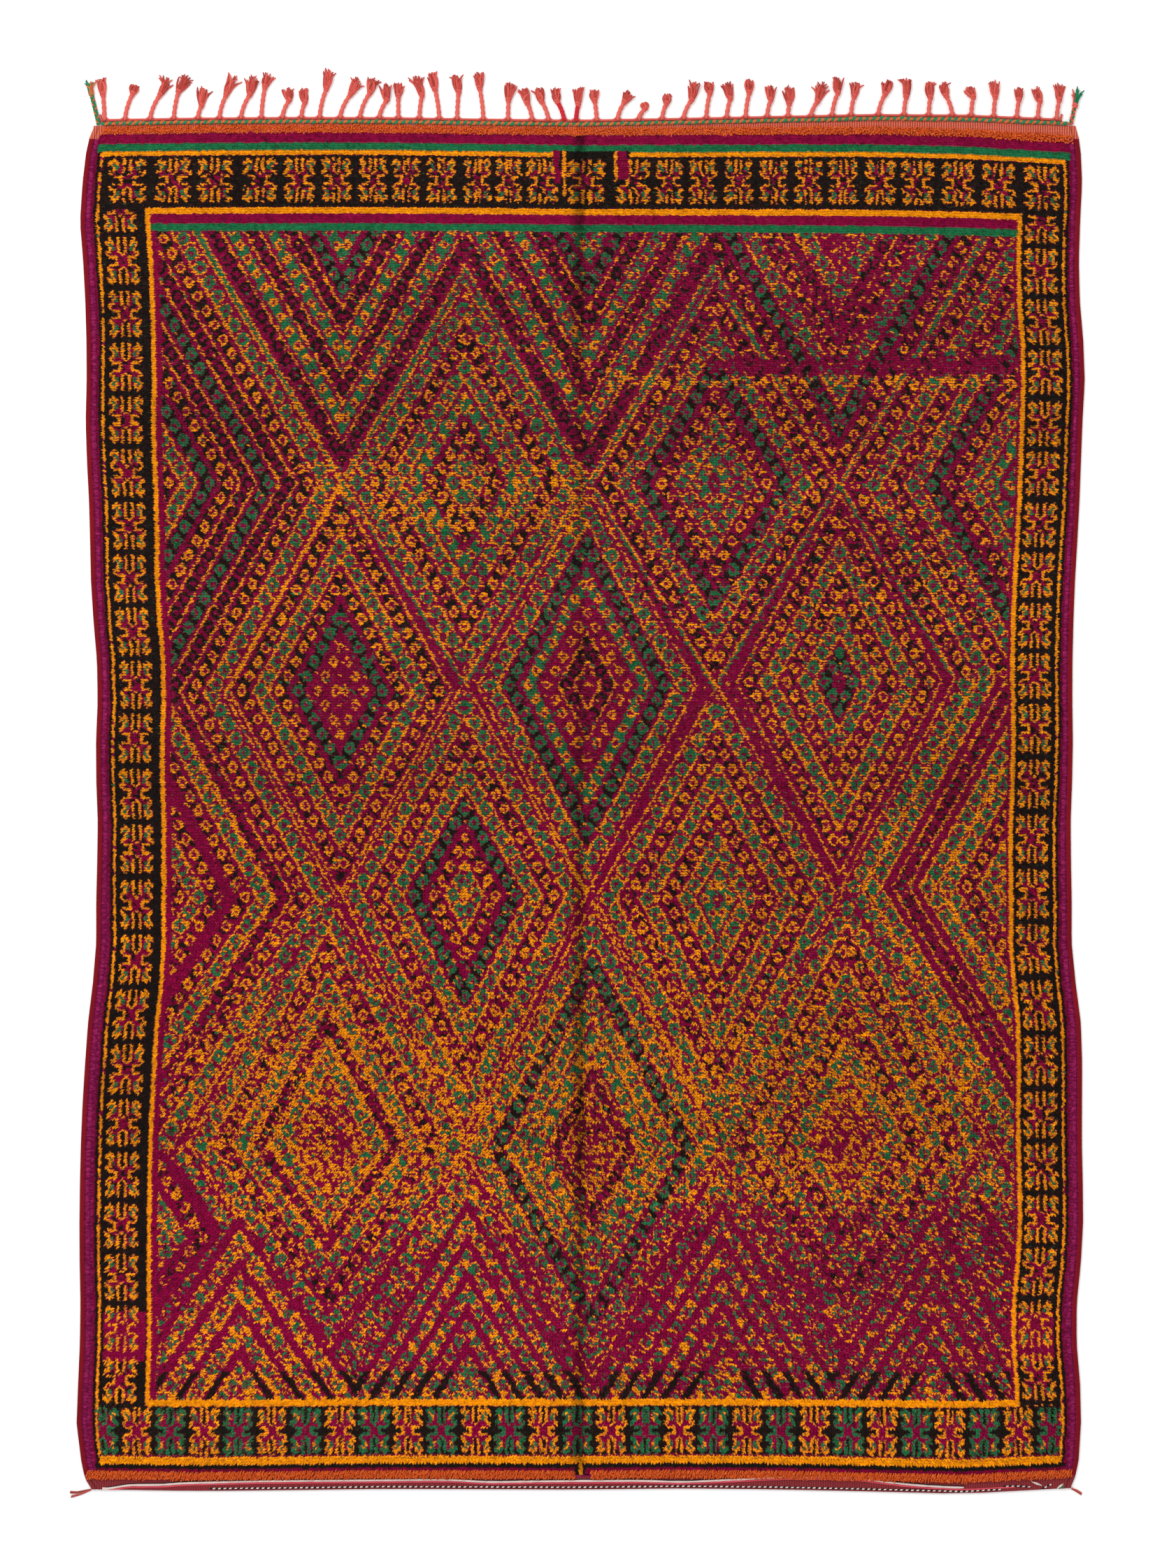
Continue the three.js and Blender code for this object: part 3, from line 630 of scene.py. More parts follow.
coral_yarn = dyed_wool("coral_wool_warp_yarn", "#96302A", "#CE564C", "#E27468")
madder_yarn = dyed_wool("dark_red_wool_yarn", "#8A0F1A", "#C42430", "#E84A50")
fringe = yarn_piece("warp_fringe_tassels", coral_strands, coral_yarn, sides=4, tones=coral_tones)
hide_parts("warp_fringe")
wrapped = yarn_piece("dark_red_stems", wrapped_strands, madder_yarn, sides=6)


# Corner braids: the twining yarns run out at each top corner as a short three-strand plait, and
# end in a few loose locks. The right one is knotted together with a bunch of coral warp ends.
Braid = namedtuple("Braid", "node start run locks colours")
BRAIDS = [
    Braid("corner_braid_left", -912.0, (-14, 58), ((-7, 33), (1, 31)), ("green", "orange", "green")),
    Braid("corner_braid_right", 941.0, (8, 36), ((-4, 34), (11, 40)), ("coral", "green", "orange")),
]
BRAID_TURN = 17.0
BRAID_HALF_WIDTH = 2.6
BRAID_YARN = 1.9
BRAID_HEIGHT = 3.5
BRAID_DIP = 1.4
BRAID_FOOT = 2.4
BRAID_POINTS = 40
LOCK_ENDS = 7
LOCK_FAN = 0.22
LOCK_START = (0, 2)
BRAID_YARNS = {"green": green_yarn, "orange": orange_yarn, "coral": coral_yarn}


def plait_strand(path, strand):
    """One of three strands: it swings from side to side and dips under at each crossing"""
    run = np.linspace(0, 1, BRAID_POINTS)
    centre = np.stack([np.interp(run, [0, 1], path[:, i]) for i in (0, 1)], axis=-1)
    along = (path[1] - path[0]) / np.hypot(*(path[1] - path[0]))
    aside = np.array([along[1], -along[0]])
    angle = 2 * math.pi * (run * np.hypot(*(path[1] - path[0])) / BRAID_TURN + strand / 3)
    swing = BRAID_HALF_WIDTH * np.sin(angle)
    return np.column_stack([centre + np.outer(swing, aside), BRAID_HEIGHT + BRAID_DIP * np.sin(2 * angle)])


for braid in BRAIDS:
    foot = np.array([braid.start, top_edge(braid.start) + PIECE_GAP + BRAID_FOOT])
    path = np.array([foot, foot + braid.run])
    for strand, colour in enumerate(braid.colours):
        strands = [(plait_strand(path, strand), BRAID_YARN)]
        if strand < 2:
            strands += cut_ends(path[1] - LOCK_START, braid.locks[strand], LOCK_ENDS, LOCK_FAN)
        if colour == "coral":
            strands.append((overhand_knot(path), KNOT_YARN))
        piece = yarn_piece(f"{braid.node}_{strand + 1}_{colour}", strands, BRAID_YARNS[colour], sides=5)
        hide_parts(braid.node)


# Corner tails: at the lower corners the selvedge wefts run on as short frayed ends, forked on the
# left and pointed on the right. They are loose bunches of the flat weave's brownish red yarn.
TAILS = {
    "corner_tail_left": [
        [(-926.6, -1347.5), (-942, -1350.6), (-954, -1353.2), (-967, -1352.6)],
        [(-926.8, -1347.9), (-942, -1354.6), (-954, -1358.4), (-965, -1361.0)],
    ],
    "corner_tail_right": [
        [(942.6, -1345.0), (953, -1349.4), (962, -1355.6)],
        [(942.6, -1345.6), (953, -1351.0), (962, -1356.4)],
    ],
}
TAIL_YARN = 1.2
TAIL_SPREAD = 1.5
TAIL_STRANDS = 4
TAIL_FAN = np.array([0.2, 0.8])
TAIL_TAPER = 0.6
TAIL_STEP = 0.3
tail_yarn = dyed_wool("brownish_red_weft_yarn", "#6E2420", "#A8453C", "#D07068")
for name, routes in TAILS.items():
    strands = []
    for route in routes:
        for i in range(TAIL_STRANDS):
            shift = (i - (TAIL_STRANDS - 1) / 2) * TAIL_SPREAD
            points = np.array(route) + np.linspace(0.2, 1, len(route))[:, None] * (TAIL_FAN * shift)
            height = np.full(len(route), TAIL_YARN + TAIL_STEP * (i % 2))
            taper = np.linspace(1, TAIL_TAPER, len(route))
            strands.append((np.column_stack([points, height]), TAIL_YARN * taper))
    tail = yarn_piece(name + "_yarns", strands, tail_yarn, sides=5)
    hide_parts(name)


# Lower edge trim: weft lines worked into the flat weave at the very end of the rug: a black one, a cream
# one and a pink one side by side, and near the edge a twined line that comes up black and white in turn.
# At the right corner it was darned in again, with a few ends of the twist and of cream and green yarn.
WEFT_LINE = [
    (-905, -1349), (-870, -1340), (-840, -1336), (-806, -1341), (-780, -1336), (-720, -1334), (-600, -1331),
    (-340, -1329), (-240, -1328), (-174, -1333), (-58, -1331), (126, -1330), (200, -1333), (300, -1328),
    (392, -1323), (526, -1324), (606, -1335), (672, -1341), (746, -1344), (834, -1338),
]
LINE_POINTS = 180
LINE_SMOOTHING = 7
LINE_SUNK = 0.4
LINE_PLUMP_SPREAD = 0.08
CREAM_YARN = 2.1
CREAM_LINE_END = 746.0
BLACK_ABOVE, BLACK_LINE_YARN = 2.9, 0.9
PINK_BELOW, PINK_LINE_YARN = 3.7, 1.6
DOTTED_LEVEL = 4.6
DOTTED_TURN = 10.4
DOTTED_YARNS = (1.6, 1.35)
DOTTED_OFFSET = 1.3
DOTTED_RAISED = 0.6
DOTTED_FLAT = 0.15
DOTTED_FROM, DOTTED_TO, DOTTED_POINTS = -700, 810, 160
DARNED_TWISTS = [
    [(812, -1341), (838, -1340), (866, -1342)],
    [(886, -1345.5), (895, -1341), (904, -1336.5)],
]
DARN_YARNS = np.array([0.9, 2.3, 0.7])
CREAM_DARNS = [
    [(866, -1331.5, 5), (876, -1335.5, 6), (886, -1339.5, 5)],
    [(915, -1344.5, 5), (921, -1340, 6), (927, -1336, 5)],
]
GREEN_DARN = [(919, -1345.5, 4.5), (925, -1341.5, 5), (931, -1337, 4.5)]
cream_yarn = dyed_wool("undyed_cream_wool_yarn", "#A88E86", "#DCCBC4", "#F6ECE6")
black_yarn = dyed_wool("brown_black_wool_yarn", "#0C0807", "#1E1613", "#33261F")
pink_yarn = dyed_wool("pink_red_wool_yarn", "#8E1A30", "#C4384A", "#E2707A")
line_x = np.linspace(WEFT_LINE[0][0], WEFT_LINE[-1][0], LINE_POINTS)
line_y = np.pad(np.interp(line_x, *zip(*WEFT_LINE)), LINE_SMOOTHING // 2, "edge")
line_y = np.convolve(line_y, np.ones(LINE_SMOOTHING) / LINE_SMOOTHING, "valid")
for name, shift, radius, wool in (
        ("black_weft_line", BLACK_ABOVE, BLACK_LINE_YARN, black_yarn),
        ("cream_weft_line", 0.0, CREAM_YARN, cream_yarn),
        ("pink_weft_line", -PINK_BELOW, PINK_LINE_YARN, pink_yarn)):
    kept_y = np.maximum(line_y + shift, np.interp(line_x, *BOTTOM_LINE) + radius)
    height = np.full(LINE_POINTS, FLAT_WEAVE_HEIGHT + LINE_SUNK * radius)
    strand = np.column_stack([line_x, kept_y, height])
    if wool != pink_yarn:
        strand = strand[line_x < CREAM_LINE_END]
    plump = radius * np.clip(rng.normal(1, LINE_PLUMP_SPREAD, len(strand)), *PLUMP_LIMITS)
    weft_line = yarn_piece(name, [(strand, plump)], wool, sides=6)
dotted_x = np.linspace(DOTTED_FROM, DOTTED_TO, DOTTED_POINTS)
dotted_path = np.column_stack([dotted_x, np.interp(dotted_x, *BOTTOM_LINE) + DOTTED_LEVEL])
dotted_height = FLAT_WEAVE_HEIGHT + DOTTED_RAISED
for ply, (colour, wool) in enumerate({"black": black_yarn, "cream": cream_yarn}.items()):
    strands = []
    for path in [dotted_path, *np.array(DARNED_TWISTS, float)]:
        strand = twisted(path, DOTTED_TURN, DOTTED_OFFSET, dotted_height, ply, flat=DOTTED_FLAT)
        strands.append((strand, DOTTED_YARNS[ply]))
    if colour == "cream":
        strands += [(np.array(darn), DARN_YARNS) for darn in CREAM_DARNS]
    dotted = yarn_piece("dotted_edge_" + colour, strands, wool, sides=4)
green_darn = yarn_piece("green_darning_yarn", [(np.array(GREEN_DARN), DARN_YARNS)], green_yarn, sides=4)


# Loop bands: rows of uncut orange loops lie between the flat weave and the pile at both ends. Each
# loop is one short arch of yarn that has flopped over its own way.
LOOP_YARN = 1.4
FOOT_LOOP_YARN = 1.3
LOOP_SPAN = 3.6
LOOP_RISE = 6.8
LOOP_STEPS = np.array([0, 0.3, 0.7, 1])
LOOP_SIZES = (0.75, 1.1)
LOOP_FLOP = -0.6
LOOP_SKEW = 0.35
LOOP_JITTER = 0.8
LOOP_LOOSE = 0.7
LOOP_PITCH = 3.9
FOOT_LOOP_PITCH = 2.9
FOOT_LOOP_TURN = 1.45
FOOT_LOOP_BASE = 2.2
FOOT_LOOP_LOOSE = 0.3
FOOT_LOOP_JITTER = 0.6
TOP_LOOP_ROWS = (2.5, 5.3, 8.1, 10.9, 13.7)
BOTTOM_LOOP_ROWS = (24.4, 27.0, 29.6, 32.2, 34.2)
TOP_LOOPS_LEFT, TOP_LOOPS_RIGHT = 20, 8
BOTTOM_LOOPS_LEFT, BOTTOM_LOOPS_RIGHT = 8, 6
BOTTOM_LOOPS_LEVEL = 25
LOOP_MEND = (-3.0, 27.0)
MEND_BLACK = (-3.0, 16.0)
MEND_YELLOW = (3.0, 10.0)
DROOP = 16.0
DROOP_START = -170.0
DROOP_REACH = 1093.0


def droop(x):
    """How far the rows sink below the top edge towards the right"""
    return DROOP * np.clip((x - DROOP_START) / DROOP_REACH, 0, 1) ** 1.5


def loop_strand(x, y, facing=0.0, loose=LOOP_LOOSE, base=0.0):
    """An arch from one foot to the other, flopped to a side"""
    turn = rng.normal(facing, loose)
    flop = rng.normal(LOOP_FLOP, 0.7 * loose)
    foot = LOOP_SPAN * (LOOP_STEPS - 0.5)
    fibre_tone_and_shade = LOOP_RISE * rng.uniform(*LOOP_SIZES) * np.sin(math.pi * LOOP_STEPS)
    skew = fibre_tone_and_shade * math.sin(flop) * math.sin(turn) + fibre_tone_and_shade * LOOP_SKEW * math.sin(2 * turn)
    flat_x = x + foot * math.cos(turn) + skew
    flat_y = y + foot * math.sin(turn) + fibre_tone_and_shade * math.sin(flop)
    return np.column_stack([flat_x, flat_y, GROUND_HEIGHT + base + fibre_tone_and_shade * abs(math.cos(flop))])


loop_yarn = dyed_wool("orange_wool_loop_yarn", "#A03408", "#D8581A", "#F07A34")
loops = {"top_loop_band": [], "bottom_loop_band": []}
first_x, last_x = left_edge(TOP_END) + TOP_LOOPS_LEFT, right_edge(TOP_END) - TOP_LOOPS_RIGHT
for from_end in TOP_LOOP_ROWS:
    for x in np.arange(first_x, last_x, LOOP_PITCH):
        x = x + rng.normal(0, LOOP_JITTER)
        y = float(waved(x, TOP_END - from_end - droop(x))) + rng.normal(0, LOOP_JITTER)
        loops["top_loop_band"].append((loop_strand(x, y), LOOP_YARN))
loop_level = BOTTOM_END + BOTTOM_LOOPS_LEVEL
first_x, last_x = left_edge(loop_level) + BOTTOM_LOOPS_LEFT, right_edge(loop_level) - BOTTOM_LOOPS_RIGHT
for from_end in BOTTOM_LOOP_ROWS:
    for x in np.arange(first_x, last_x, FOOT_LOOP_PITCH):
        x = x + rng.normal(0, FOOT_LOOP_JITTER)
        if LOOP_MEND[0] < x < LOOP_MEND[1]:
            continue
        y = float(waved(x, BOTTOM_END + from_end)) + rng.normal(0, LOOP_JITTER)
        strand = loop_strand(x, y, FOOT_LOOP_TURN, FOOT_LOOP_LOOSE, FOOT_LOOP_BASE)
        loops["bottom_loop_band"].append((strand, FOOT_LOOP_YARN))
for name, strands in loops.items():
    loop_band = yarn_piece(name, strands, loop_yarn, sides=3)


# Knotted pile: every knot is one tuft of dyed wool tied round the warp, in rows, and cut. The chart
# gives each knot its yarn: bands of beaded lozenges in the field, borders of small stepped crosses.
PURPLE, YELLOW, GREEN, BLACK, PLAIN, MIXED, DARK = range(7)
KNOT_COLUMNS = 334
KNOT_ROWS = 522
PILE_TOP = 1237.0
PITCH_AT_TOP = 4.62
PITCH_AT_BOTTOM = 5.18
PILE_FROM_LEFT = 20.7
PILE_FROM_RIGHT = 19.0
PILE_DRAWN_IN = 5.5
DRAWN_IN_FROM, DRAWN_IN_REACH = 100, 600
DROOP_ROWS = 300


def row_level(row):
    """How far up the warp a row lies: rows are beaten closer together at the top"""
    return PILE_TOP - PITCH_AT_TOP * row - (PITCH_AT_BOTTOM - PITCH_AT_TOP) * row**2 / (2 * KNOT_ROWS)


def knot_place(row, column):
    """Where a knot is tied: rows follow the waves of the ends and sink at the top right"""
    level = row_level(row)
    drawn_in = PILE_DRAWN_IN * np.clip((DRAWN_IN_FROM - level) / DRAWN_IN_REACH, 0, 1)
    left = left_edge(level) + PILE_FROM_LEFT + drawn_in
    right = right_edge(level) - PILE_FROM_RIGHT - drawn_in
    x = left + (column + 0.5) / KNOT_COLUMNS * (right - left)
    return x, waved(x, level) - droop(x) * np.clip(1 - row / DROOP_ROWS, 0, 1)


# The chart is read twice to a knot: at the corner above it to the left, and at its tip
rows_down, columns_across = np.mgrid[0:KNOT_ROWS + 1, 0:KNOT_COLUMNS + 1]
to_corner = np.array([-0.5, 0])[:, None, None]
row, column = rows_down + to_corner, columns_across + to_corner
last_row, last_column = KNOT_ROWS - 1 - row, KNOT_COLUMNS - 1 - column
x, y = knot_place(row, column)
from_top = TOP_END - row_level(row)
from_bottom = row_level(row) - BOTTOM_END

# The field: lozenges in staggered rows, each drawn from its outline inwards in named bands. Lines are
# the thin double outline, p is plain purple, two letters are a string of beads: ring and rim yarns.
Lozenge = namedtuple("Lozenge", "x y half_width up down pitch bands")
Beads = namedtuple("Beads", "heart ring rim fill edge size")
BEADS = {
    "gy": Beads(PURPLE, GREEN, YELLOW, PURPLE, YELLOW, 1.06),
    "ky": Beads(PURPLE, BLACK, PURPLE, PURPLE, YELLOW, 1.15),
    "yk": Beads(PURPLE, YELLOW, BLACK, BLACK, PURPLE, 0.92),
    "gk": Beads(PURPLE, GREEN, DARK, DARK, PURPLE, 1.0),
    "yp": Beads(PURPLE, YELLOW, PURPLE, PURPLE, PURPLE, 0.84),
    "gp": Beads(YELLOW, GREEN, PURPLE, PURPLE, PURPLE, 1.0),
    "yg": Beads(PURPLE, YELLOW, GREEN, GREEN, PURPLE, 0.84),
    "pk": Beads(YELLOW, PURPLE, BLACK, PURPLE, PURPLE, 1.0),
    "gf": Beads(PURPLE, GREEN, YELLOW, YELLOW, YELLOW, 0.9),
}
LINES = 11.0
OUTLINE = 2.4
OUTLINE_RIM = 7.4
GREEN_LINES_ABOVE = 500.0
PLAIN_BAND = 15.0
BEAD_STEP = 27.4
BEAD_HALF_WIDTH = 11.0
BEAD_HALF_HEIGHT = 13.6
BEAD_ROUNDNESS = 1.3
HEART, RING, RIM = 0.46, 1.0, 1.28
EDGE_AT = 0.4
EDGE_HALF_WIDTH = 2.6
ZIGZAG = 1.5
CHEVRON_BANDS = ["p", "gf"]
LOZENGES = [
    Lozenge(-447, 1053, 277, 483, 483, 37, "lines ky yg ky yg ky gk yg"),
    Lozenge(22, 1053, 277, 487, 487, 37, "lines ky yg ky yg ky gk yg"),
    Lozenge(499, 1047, 277, 487, 487, 37, "lines yk gk gy yk ky gy yp"),
    Lozenge(-801, 571, 357, 603, 641, 38, "lines gy yk ky gk ky yk gk gy yk"),
    Lozenge(-214, 573, 233, 387, 387, 36, "lines gy yk gy yg yk gy"),
    Lozenge(262, 571, 237, 391, 391, 36, "lines yk gy gk yk gy yg"),
    Lozenge(839, 567, 340, 573, 573, 37, "lines yk gy yk gy gk yk gy yg"),
    Lozenge(-451, 176, 217, 395, 393, 36, "lines yk gy yk gk yp"),
    Lozenge(19, 187, 213, 387, 404, 36, "lines gy gk yg yp ky pk"),
    Lozenge(499, 193, 200, 367, 375, 36, "lines yk gy yk gy gk"),
    Lozenge(-801, -217, 347, 633, 527, 37, "lines gy yk ky gy yk p yk gy yk"),
    Lozenge(-214, -213, 237, 415, 463, 37, "lines gy yk gy gk yk gy"),
    Lozenge(267, -220, 237, 415, 463, 37, "lines gy yk gy yk gy yg"),
    Lozenge(839, -197, 341, 621, 563, 37, "lines gy gy p ky p gy gy yk gy"),
    Lozenge(-474, -687, 270, 490, 395, 37, "lines gy yk gy ky gy yp pk"),
    Lozenge(29, -696, 249, 479, 444, 37, "lines gy gk gy yg ky pk"),
    Lozenge(514, -677, 270, 491, 395, 37, "lines gy yk gy yk gy yp"),
    Lozenge(-801, -865, 120, 190, 135, 30, "p yk p gy"),
    Lozenge(-642, -1173, 240, 353, 353, 42, "p gf p gf p gf p gf"),
    Lozenge(-209, -1173, 230, 383, 383, 25, "p gf p gf p gf p gf p gf"),
    Lozenge(276, -1173, 240, 383, 383, 25, "p gf p gf p gf p gf p gf"),
    Lozenge(676, -1173, 220, 367, 367, 24, "p gf p gf p gf p gf p gf"),
]


def paint_field(x, y):
    """The yarn of each knot of the field at x, y"""
    reach = []
    for lozenge in LOZENGES:
        height = np.where(y > lozenge.y, lozenge.up, lozenge.down)
        reach.append(np.abs(x - lozenge.x) / lozenge.half_width + np.abs(y - lozenge.y) / height)
    owner = np.argmin(reach, axis=0)
    yarns = np.full(x.shape, PURPLE)
    for number, lozenge in enumerate(LOZENGES):
        across, along = np.abs(x - lozenge.x), np.abs(y - lozenge.y)
        slope = lozenge.half_width / np.where(y > lozenge.y, lozenge.up, lozenge.down)
        inwards = np.abs(1 - reach[number]) * lozenge.half_width
        facing = np.where(reach[number] > 1, -1, 1)
        outer = 0.0
        names = lozenge.bands.split()
        mine = owner == number
        if names[:2] == CHEVRON_BANDS:
            yarns[mine & (facing < 0)] = MIXED
            mine = mine & (facing > 0)
        for order, name in enumerate(names):
            width = {"lines": LINES, "p": PLAIN_BAND}.get(name, lozenge.pitch)
            last = order == len(names) - 1
            here = mine & (inwards >= outer) & ((inwards < outer + width) | last)
            if name == "lines":
                yarns[here & (inwards <= OUTLINE)] = GREEN if lozenge.y > GREEN_LINES_ABOVE else PURPLE
                yarns[here & (facing > 0) & (inwards > OUTLINE) & (inwards < OUTLINE_RIM)] = YELLOW
            elif name == "p":
                yarns[here] = PLAIN
            else:
                beads = BEADS[name]
                bead = np.round(along / BEAD_STEP)
                middle = lozenge.half_width - facing * (outer + width / 2)
                aside = across - middle + bead * BEAD_STEP * slope
                offset = inwards - outer - width / 2
                if last:
                    aside = (aside + width / 2) % width - width / 2
                    offset = (offset + width / 2) % width - width / 2
                ahead = along - bead * BEAD_STEP
                wide = np.abs(aside / BEAD_HALF_WIDTH) ** BEAD_ROUNDNESS
                high = np.abs(ahead / BEAD_HALF_HEIGHT) ** BEAD_ROUNDNESS
                size = (wide + high) ** (1 / BEAD_ROUNDNESS) / beads.size
                edge_at = EDGE_AT * width + ZIGZAG * (1 - 4 * np.abs(ahead) / BEAD_STEP)
                yarns[here & (np.abs(offset) < edge_at)] = beads.fill
                yarns[here & (size < RIM)] = beads.rim
                edged = (np.abs(np.abs(offset) - edge_at) < EDGE_HALF_WIDTH) & ((offset > 0) | (order > 1))
                yarns[here & edged] = beads.edge
                yarns[here & (size < RING)] = beads.ring
                yarns[here & (size < HEART)] = beads.heart
            outer += width
    return yarns


def zone(low_x, high_x, low_y, high_y, soft=40.0):
    """One inside a rectangle of the rug, falling to nothing over a soft margin"""
    inside = np.minimum(np.minimum(x - low_x, high_x - x), np.minimum(y - low_y, high_y - y))
    return np.clip(inside / soft + 0.5, 0, 1)


def swap(chance, old, new):
    """Some knots of one yarn tied in another instead"""
    knots[(knots == old) & (rng.random(rows_down.shape) < chance)] = new


# The weaver counted loosely in the upper middle, where knots stray, and ran short of yarn in places
STRAY_SHARES = [0.43, 0.29, 0.25, 0.03]
PURPLE_FOOT, PURPLE_FOOT_RISE, PURPLE_FOOT_BLUR = -870, 70, 80
BLACK_BANDS_BELOW = 228.0
loose = zone(-520, 850, 100, 1100, 300)
lower = np.clip((150 - y) / 650, 0, 1)
uneven = 0.6 + 0.7 * lower + 0.4 * loose
charted_x = x + uneven * rng.normal(size=rows_down.shape)
charted_y = y + uneven * rng.normal(size=rows_down.shape)
knots = paint_field(charted_x, charted_y)
strays = rng.choice(len(STRAY_SHARES), size=rows_down.shape, p=STRAY_SHARES)
stray_here = rng.random(rows_down.shape) < 0.025 + 0.06 * lower + 0.05 * loose
knots = np.where(stray_here & (knots != PLAIN) | (knots == MIXED), strays, knots)
swap(0.14 * zone(-420, 850, 380, 1100, 200), YELLOW, PURPLE)
swap(0.85 * zone(250, 835, 776, 813, 12), YELLOW, PURPLE)
swap(0.85 * zone(250, 835, 776, 813, 12), GREEN, PURPLE)
swap(0.2 * zone(100, 835, 800, 1060, 80), YELLOW, PURPLE)
swap(0.5 * zone(60, 835, 755, 776, 10), PURPLE, YELLOW)
swap(0.32 * zone(-500, 20, 470, 610, 25), PURPLE, YELLOW)
swap(0.4 * zone(430, 660, 850, 1000, 40), YELLOW, PURPLE)
swap(0.1 * zone(-760, 760, -640, -510, 30), PURPLE, YELLOW)
swap(0.24 * zone(-760, 760, -850, -420, 120), PURPLE, YELLOW)
to_right = np.clip(x / 200, 0, 1)
foot_level = PURPLE_FOOT_RISE * to_right + PURPLE_FOOT
purple_foot = np.clip((foot_level - y) / PURPLE_FOOT_BLUR + 0.5, 0, 1)
swap((0.34 + 0.14 * to_right) * purple_foot, YELLOW, PURPLE)
swap((0.1 + 0.25 * to_right) * purple_foot, GREEN, PURPLE)
swap(0.05 * lower * (1 - purple_foot), PURPLE, YELLOW)
swap(0.12 * lower, GREEN, YELLOW)
swap(0.15 * zone(0, 850, 300, 1060, 100), GREEN, PURPLE)
swap(0.05 + 0.45 * (y < 150) + 0.3 * zone(100, 850, 100, 1100, 100), BLACK, PURPLE)
swap(0.16 * zone(50, 835, 290, 430, 40), PURPLE, BLACK)
swap(1.0, DARK, BLACK)
swap(1.0 * (from_bottom < BLACK_BANDS_BELOW), PLAIN, BLACK)
swap(1.0, PLAIN, PURPLE)

# The borders: one small motif on black, four rosettes round a crossed middle, charted here as its upper
# half. Widths of borders and lines are counted in knots from the edge of the pile.
MOTIF = [
    ".Y..Y.Y..Y.",
    "YYY.Y.Y.YYY",
    "YGYMY.YMYGY",
    ".YGMY.YMGY.",
    ".YGMY.YMGY.",
    "YYMMY.YMMYY",
    "YMMMMYMMMMY",
    ".YYYMMMYYY.",
    "...YMMMY...",
]
YARN_LETTERS = {"M": PURPLE, "Y": YELLOW, "G": GREEN, ".": BLACK}
upper_motif = np.array([[YARN_LETTERS[letter] for letter in letters] for letters in MOTIF])
motif = np.vstack([upper_motif, upper_motif[::-1]])
TOP_BORDER, BOTTOM_BORDER = 30, 25
LEFT_BORDER, RIGHT_BORDER = 18, 16
MOTIF_COLUMNS = 11.2
MOTIF_FIRST_COLUMN = 3.9
SIDE_LEVELS = {"left": (216, 1124, 1859, 2348), "right": (225, 1102, 1841, 2340)}
SIDE_COUNTS = (0, 9, 16, 21)
SIDE_SHARE = 0.9
MENDED_FROM, MENDED_TO = 2262, 2356
TOP_MOTIF_START, TOP_MOTIF_HEIGHT = 63.0, 88.0
TOP_MOTIF_SHARE = 0.8
TOP_MOTIFS = np.array([
    -856, -769, -690, -605, -529, -459, -389, -325, -258, -189, -130, -66, 17, 107, 175, 239, 307, 375,
    441, 507, 577, 649, 727, 803, 886])
BOTTOM_PITCH = 64.5
BOTTOM_FIRST = -838.0
BOTTOM_MOTIF_START, BOTTOM_MOTIF_HEIGHT = 69.0, 90.0
BOTTOM_MOTIF_MARGIN, BOTTOM_MOTIF_SHARE = 0.06, 0.88


def stamp(u, v):
    """The motif's yarn at u, v from 0 to 1, black outside it"""
    inside = (u >= 0) & (u < 1) & (v >= 0) & (v < 1)
    i = np.clip((v * len(motif)).astype(int), 0, len(motif) - 1)
    j = np.clip((u * motif.shape[1]).astype(int), 0, motif.shape[1] - 1)
    return np.where(inside, motif[i, j], BLACK)


def paint(where, yarn):
    """Knots of one area tied in one yarn, or each in its own"""
    where = np.broadcast_to(where, knots.shape)
    knots[where] = np.broadcast_to(yarn, knots.shape)[where]


side_rows = (row > TOP_BORDER) & (last_row > BOTTOM_BORDER)
for side, border, from_edge in (("left", LEFT_BORDER, column), ("right", RIGHT_BORDER, last_column)):
    counted = np.array(SIDE_LEVELS[side])
    steps = np.diff(counted) / np.diff(SIDE_COUNTS)
    levels = np.concatenate([[counted[0] - steps[0]], counted, [counted[-1] + steps[-1]]])
    count = np.interp(from_top, levels, [-1, *SIDE_COUNTS, SIDE_COUNTS[-1] + 1])
    motif_here = stamp((from_edge - MOTIF_FIRST_COLUMN) / MOTIF_COLUMNS, count % 1 / SIDE_SHARE)
    paint(side_rows & (from_edge > 2) & (from_edge < border + 1), motif_here)
on_left = (column < LEFT_BORDER) & (column > 3)
on_right = (last_column < RIGHT_BORDER) & (last_column > 3)
side_border = side_rows & (on_left | on_right)
swap(0.3 * side_border, PURPLE, BLACK)
mended = (from_top > MENDED_FROM) & (from_top < MENDED_TO) & (knots == BLACK)
paint(mended & side_border, PURPLE)

nearest = np.argmin(np.abs(x[..., None] - TOP_MOTIFS), axis=-1)
u = (x - TOP_MOTIFS[nearest]) / (TOP_MOTIF_SHARE * np.gradient(TOP_MOTIFS)[nearest]) + 0.5
top_rows = (row > 8) & (row < TOP_BORDER + 1) & (column > 2) & (last_column > 2)
paint(top_rows, stamp(u, (from_top - TOP_MOTIF_START) / TOP_MOTIF_HEIGHT))
swap(0.5 * top_rows, PURPLE, BLACK)
swap(0.08 * top_rows, YELLOW, BLACK)

turn = (x - BOTTOM_FIRST) / BOTTOM_PITCH + 0.5
u = (turn % 1 - BOTTOM_MOTIF_MARGIN) / BOTTOM_MOTIF_SHARE
crosses = stamp(u, (from_bottom - BOTTOM_MOTIF_START) / BOTTOM_MOTIF_HEIGHT)
other_way = np.array([PURPLE, GREEN, YELLOW, BLACK])[crosses]
bottom_rows = (last_row > 5) & (last_row < BOTTOM_BORDER + 0.4) & (column > 2) & (last_column > 2)
paint(bottom_rows, np.where(np.floor(turn) % 2 == 0, crosses, other_way))

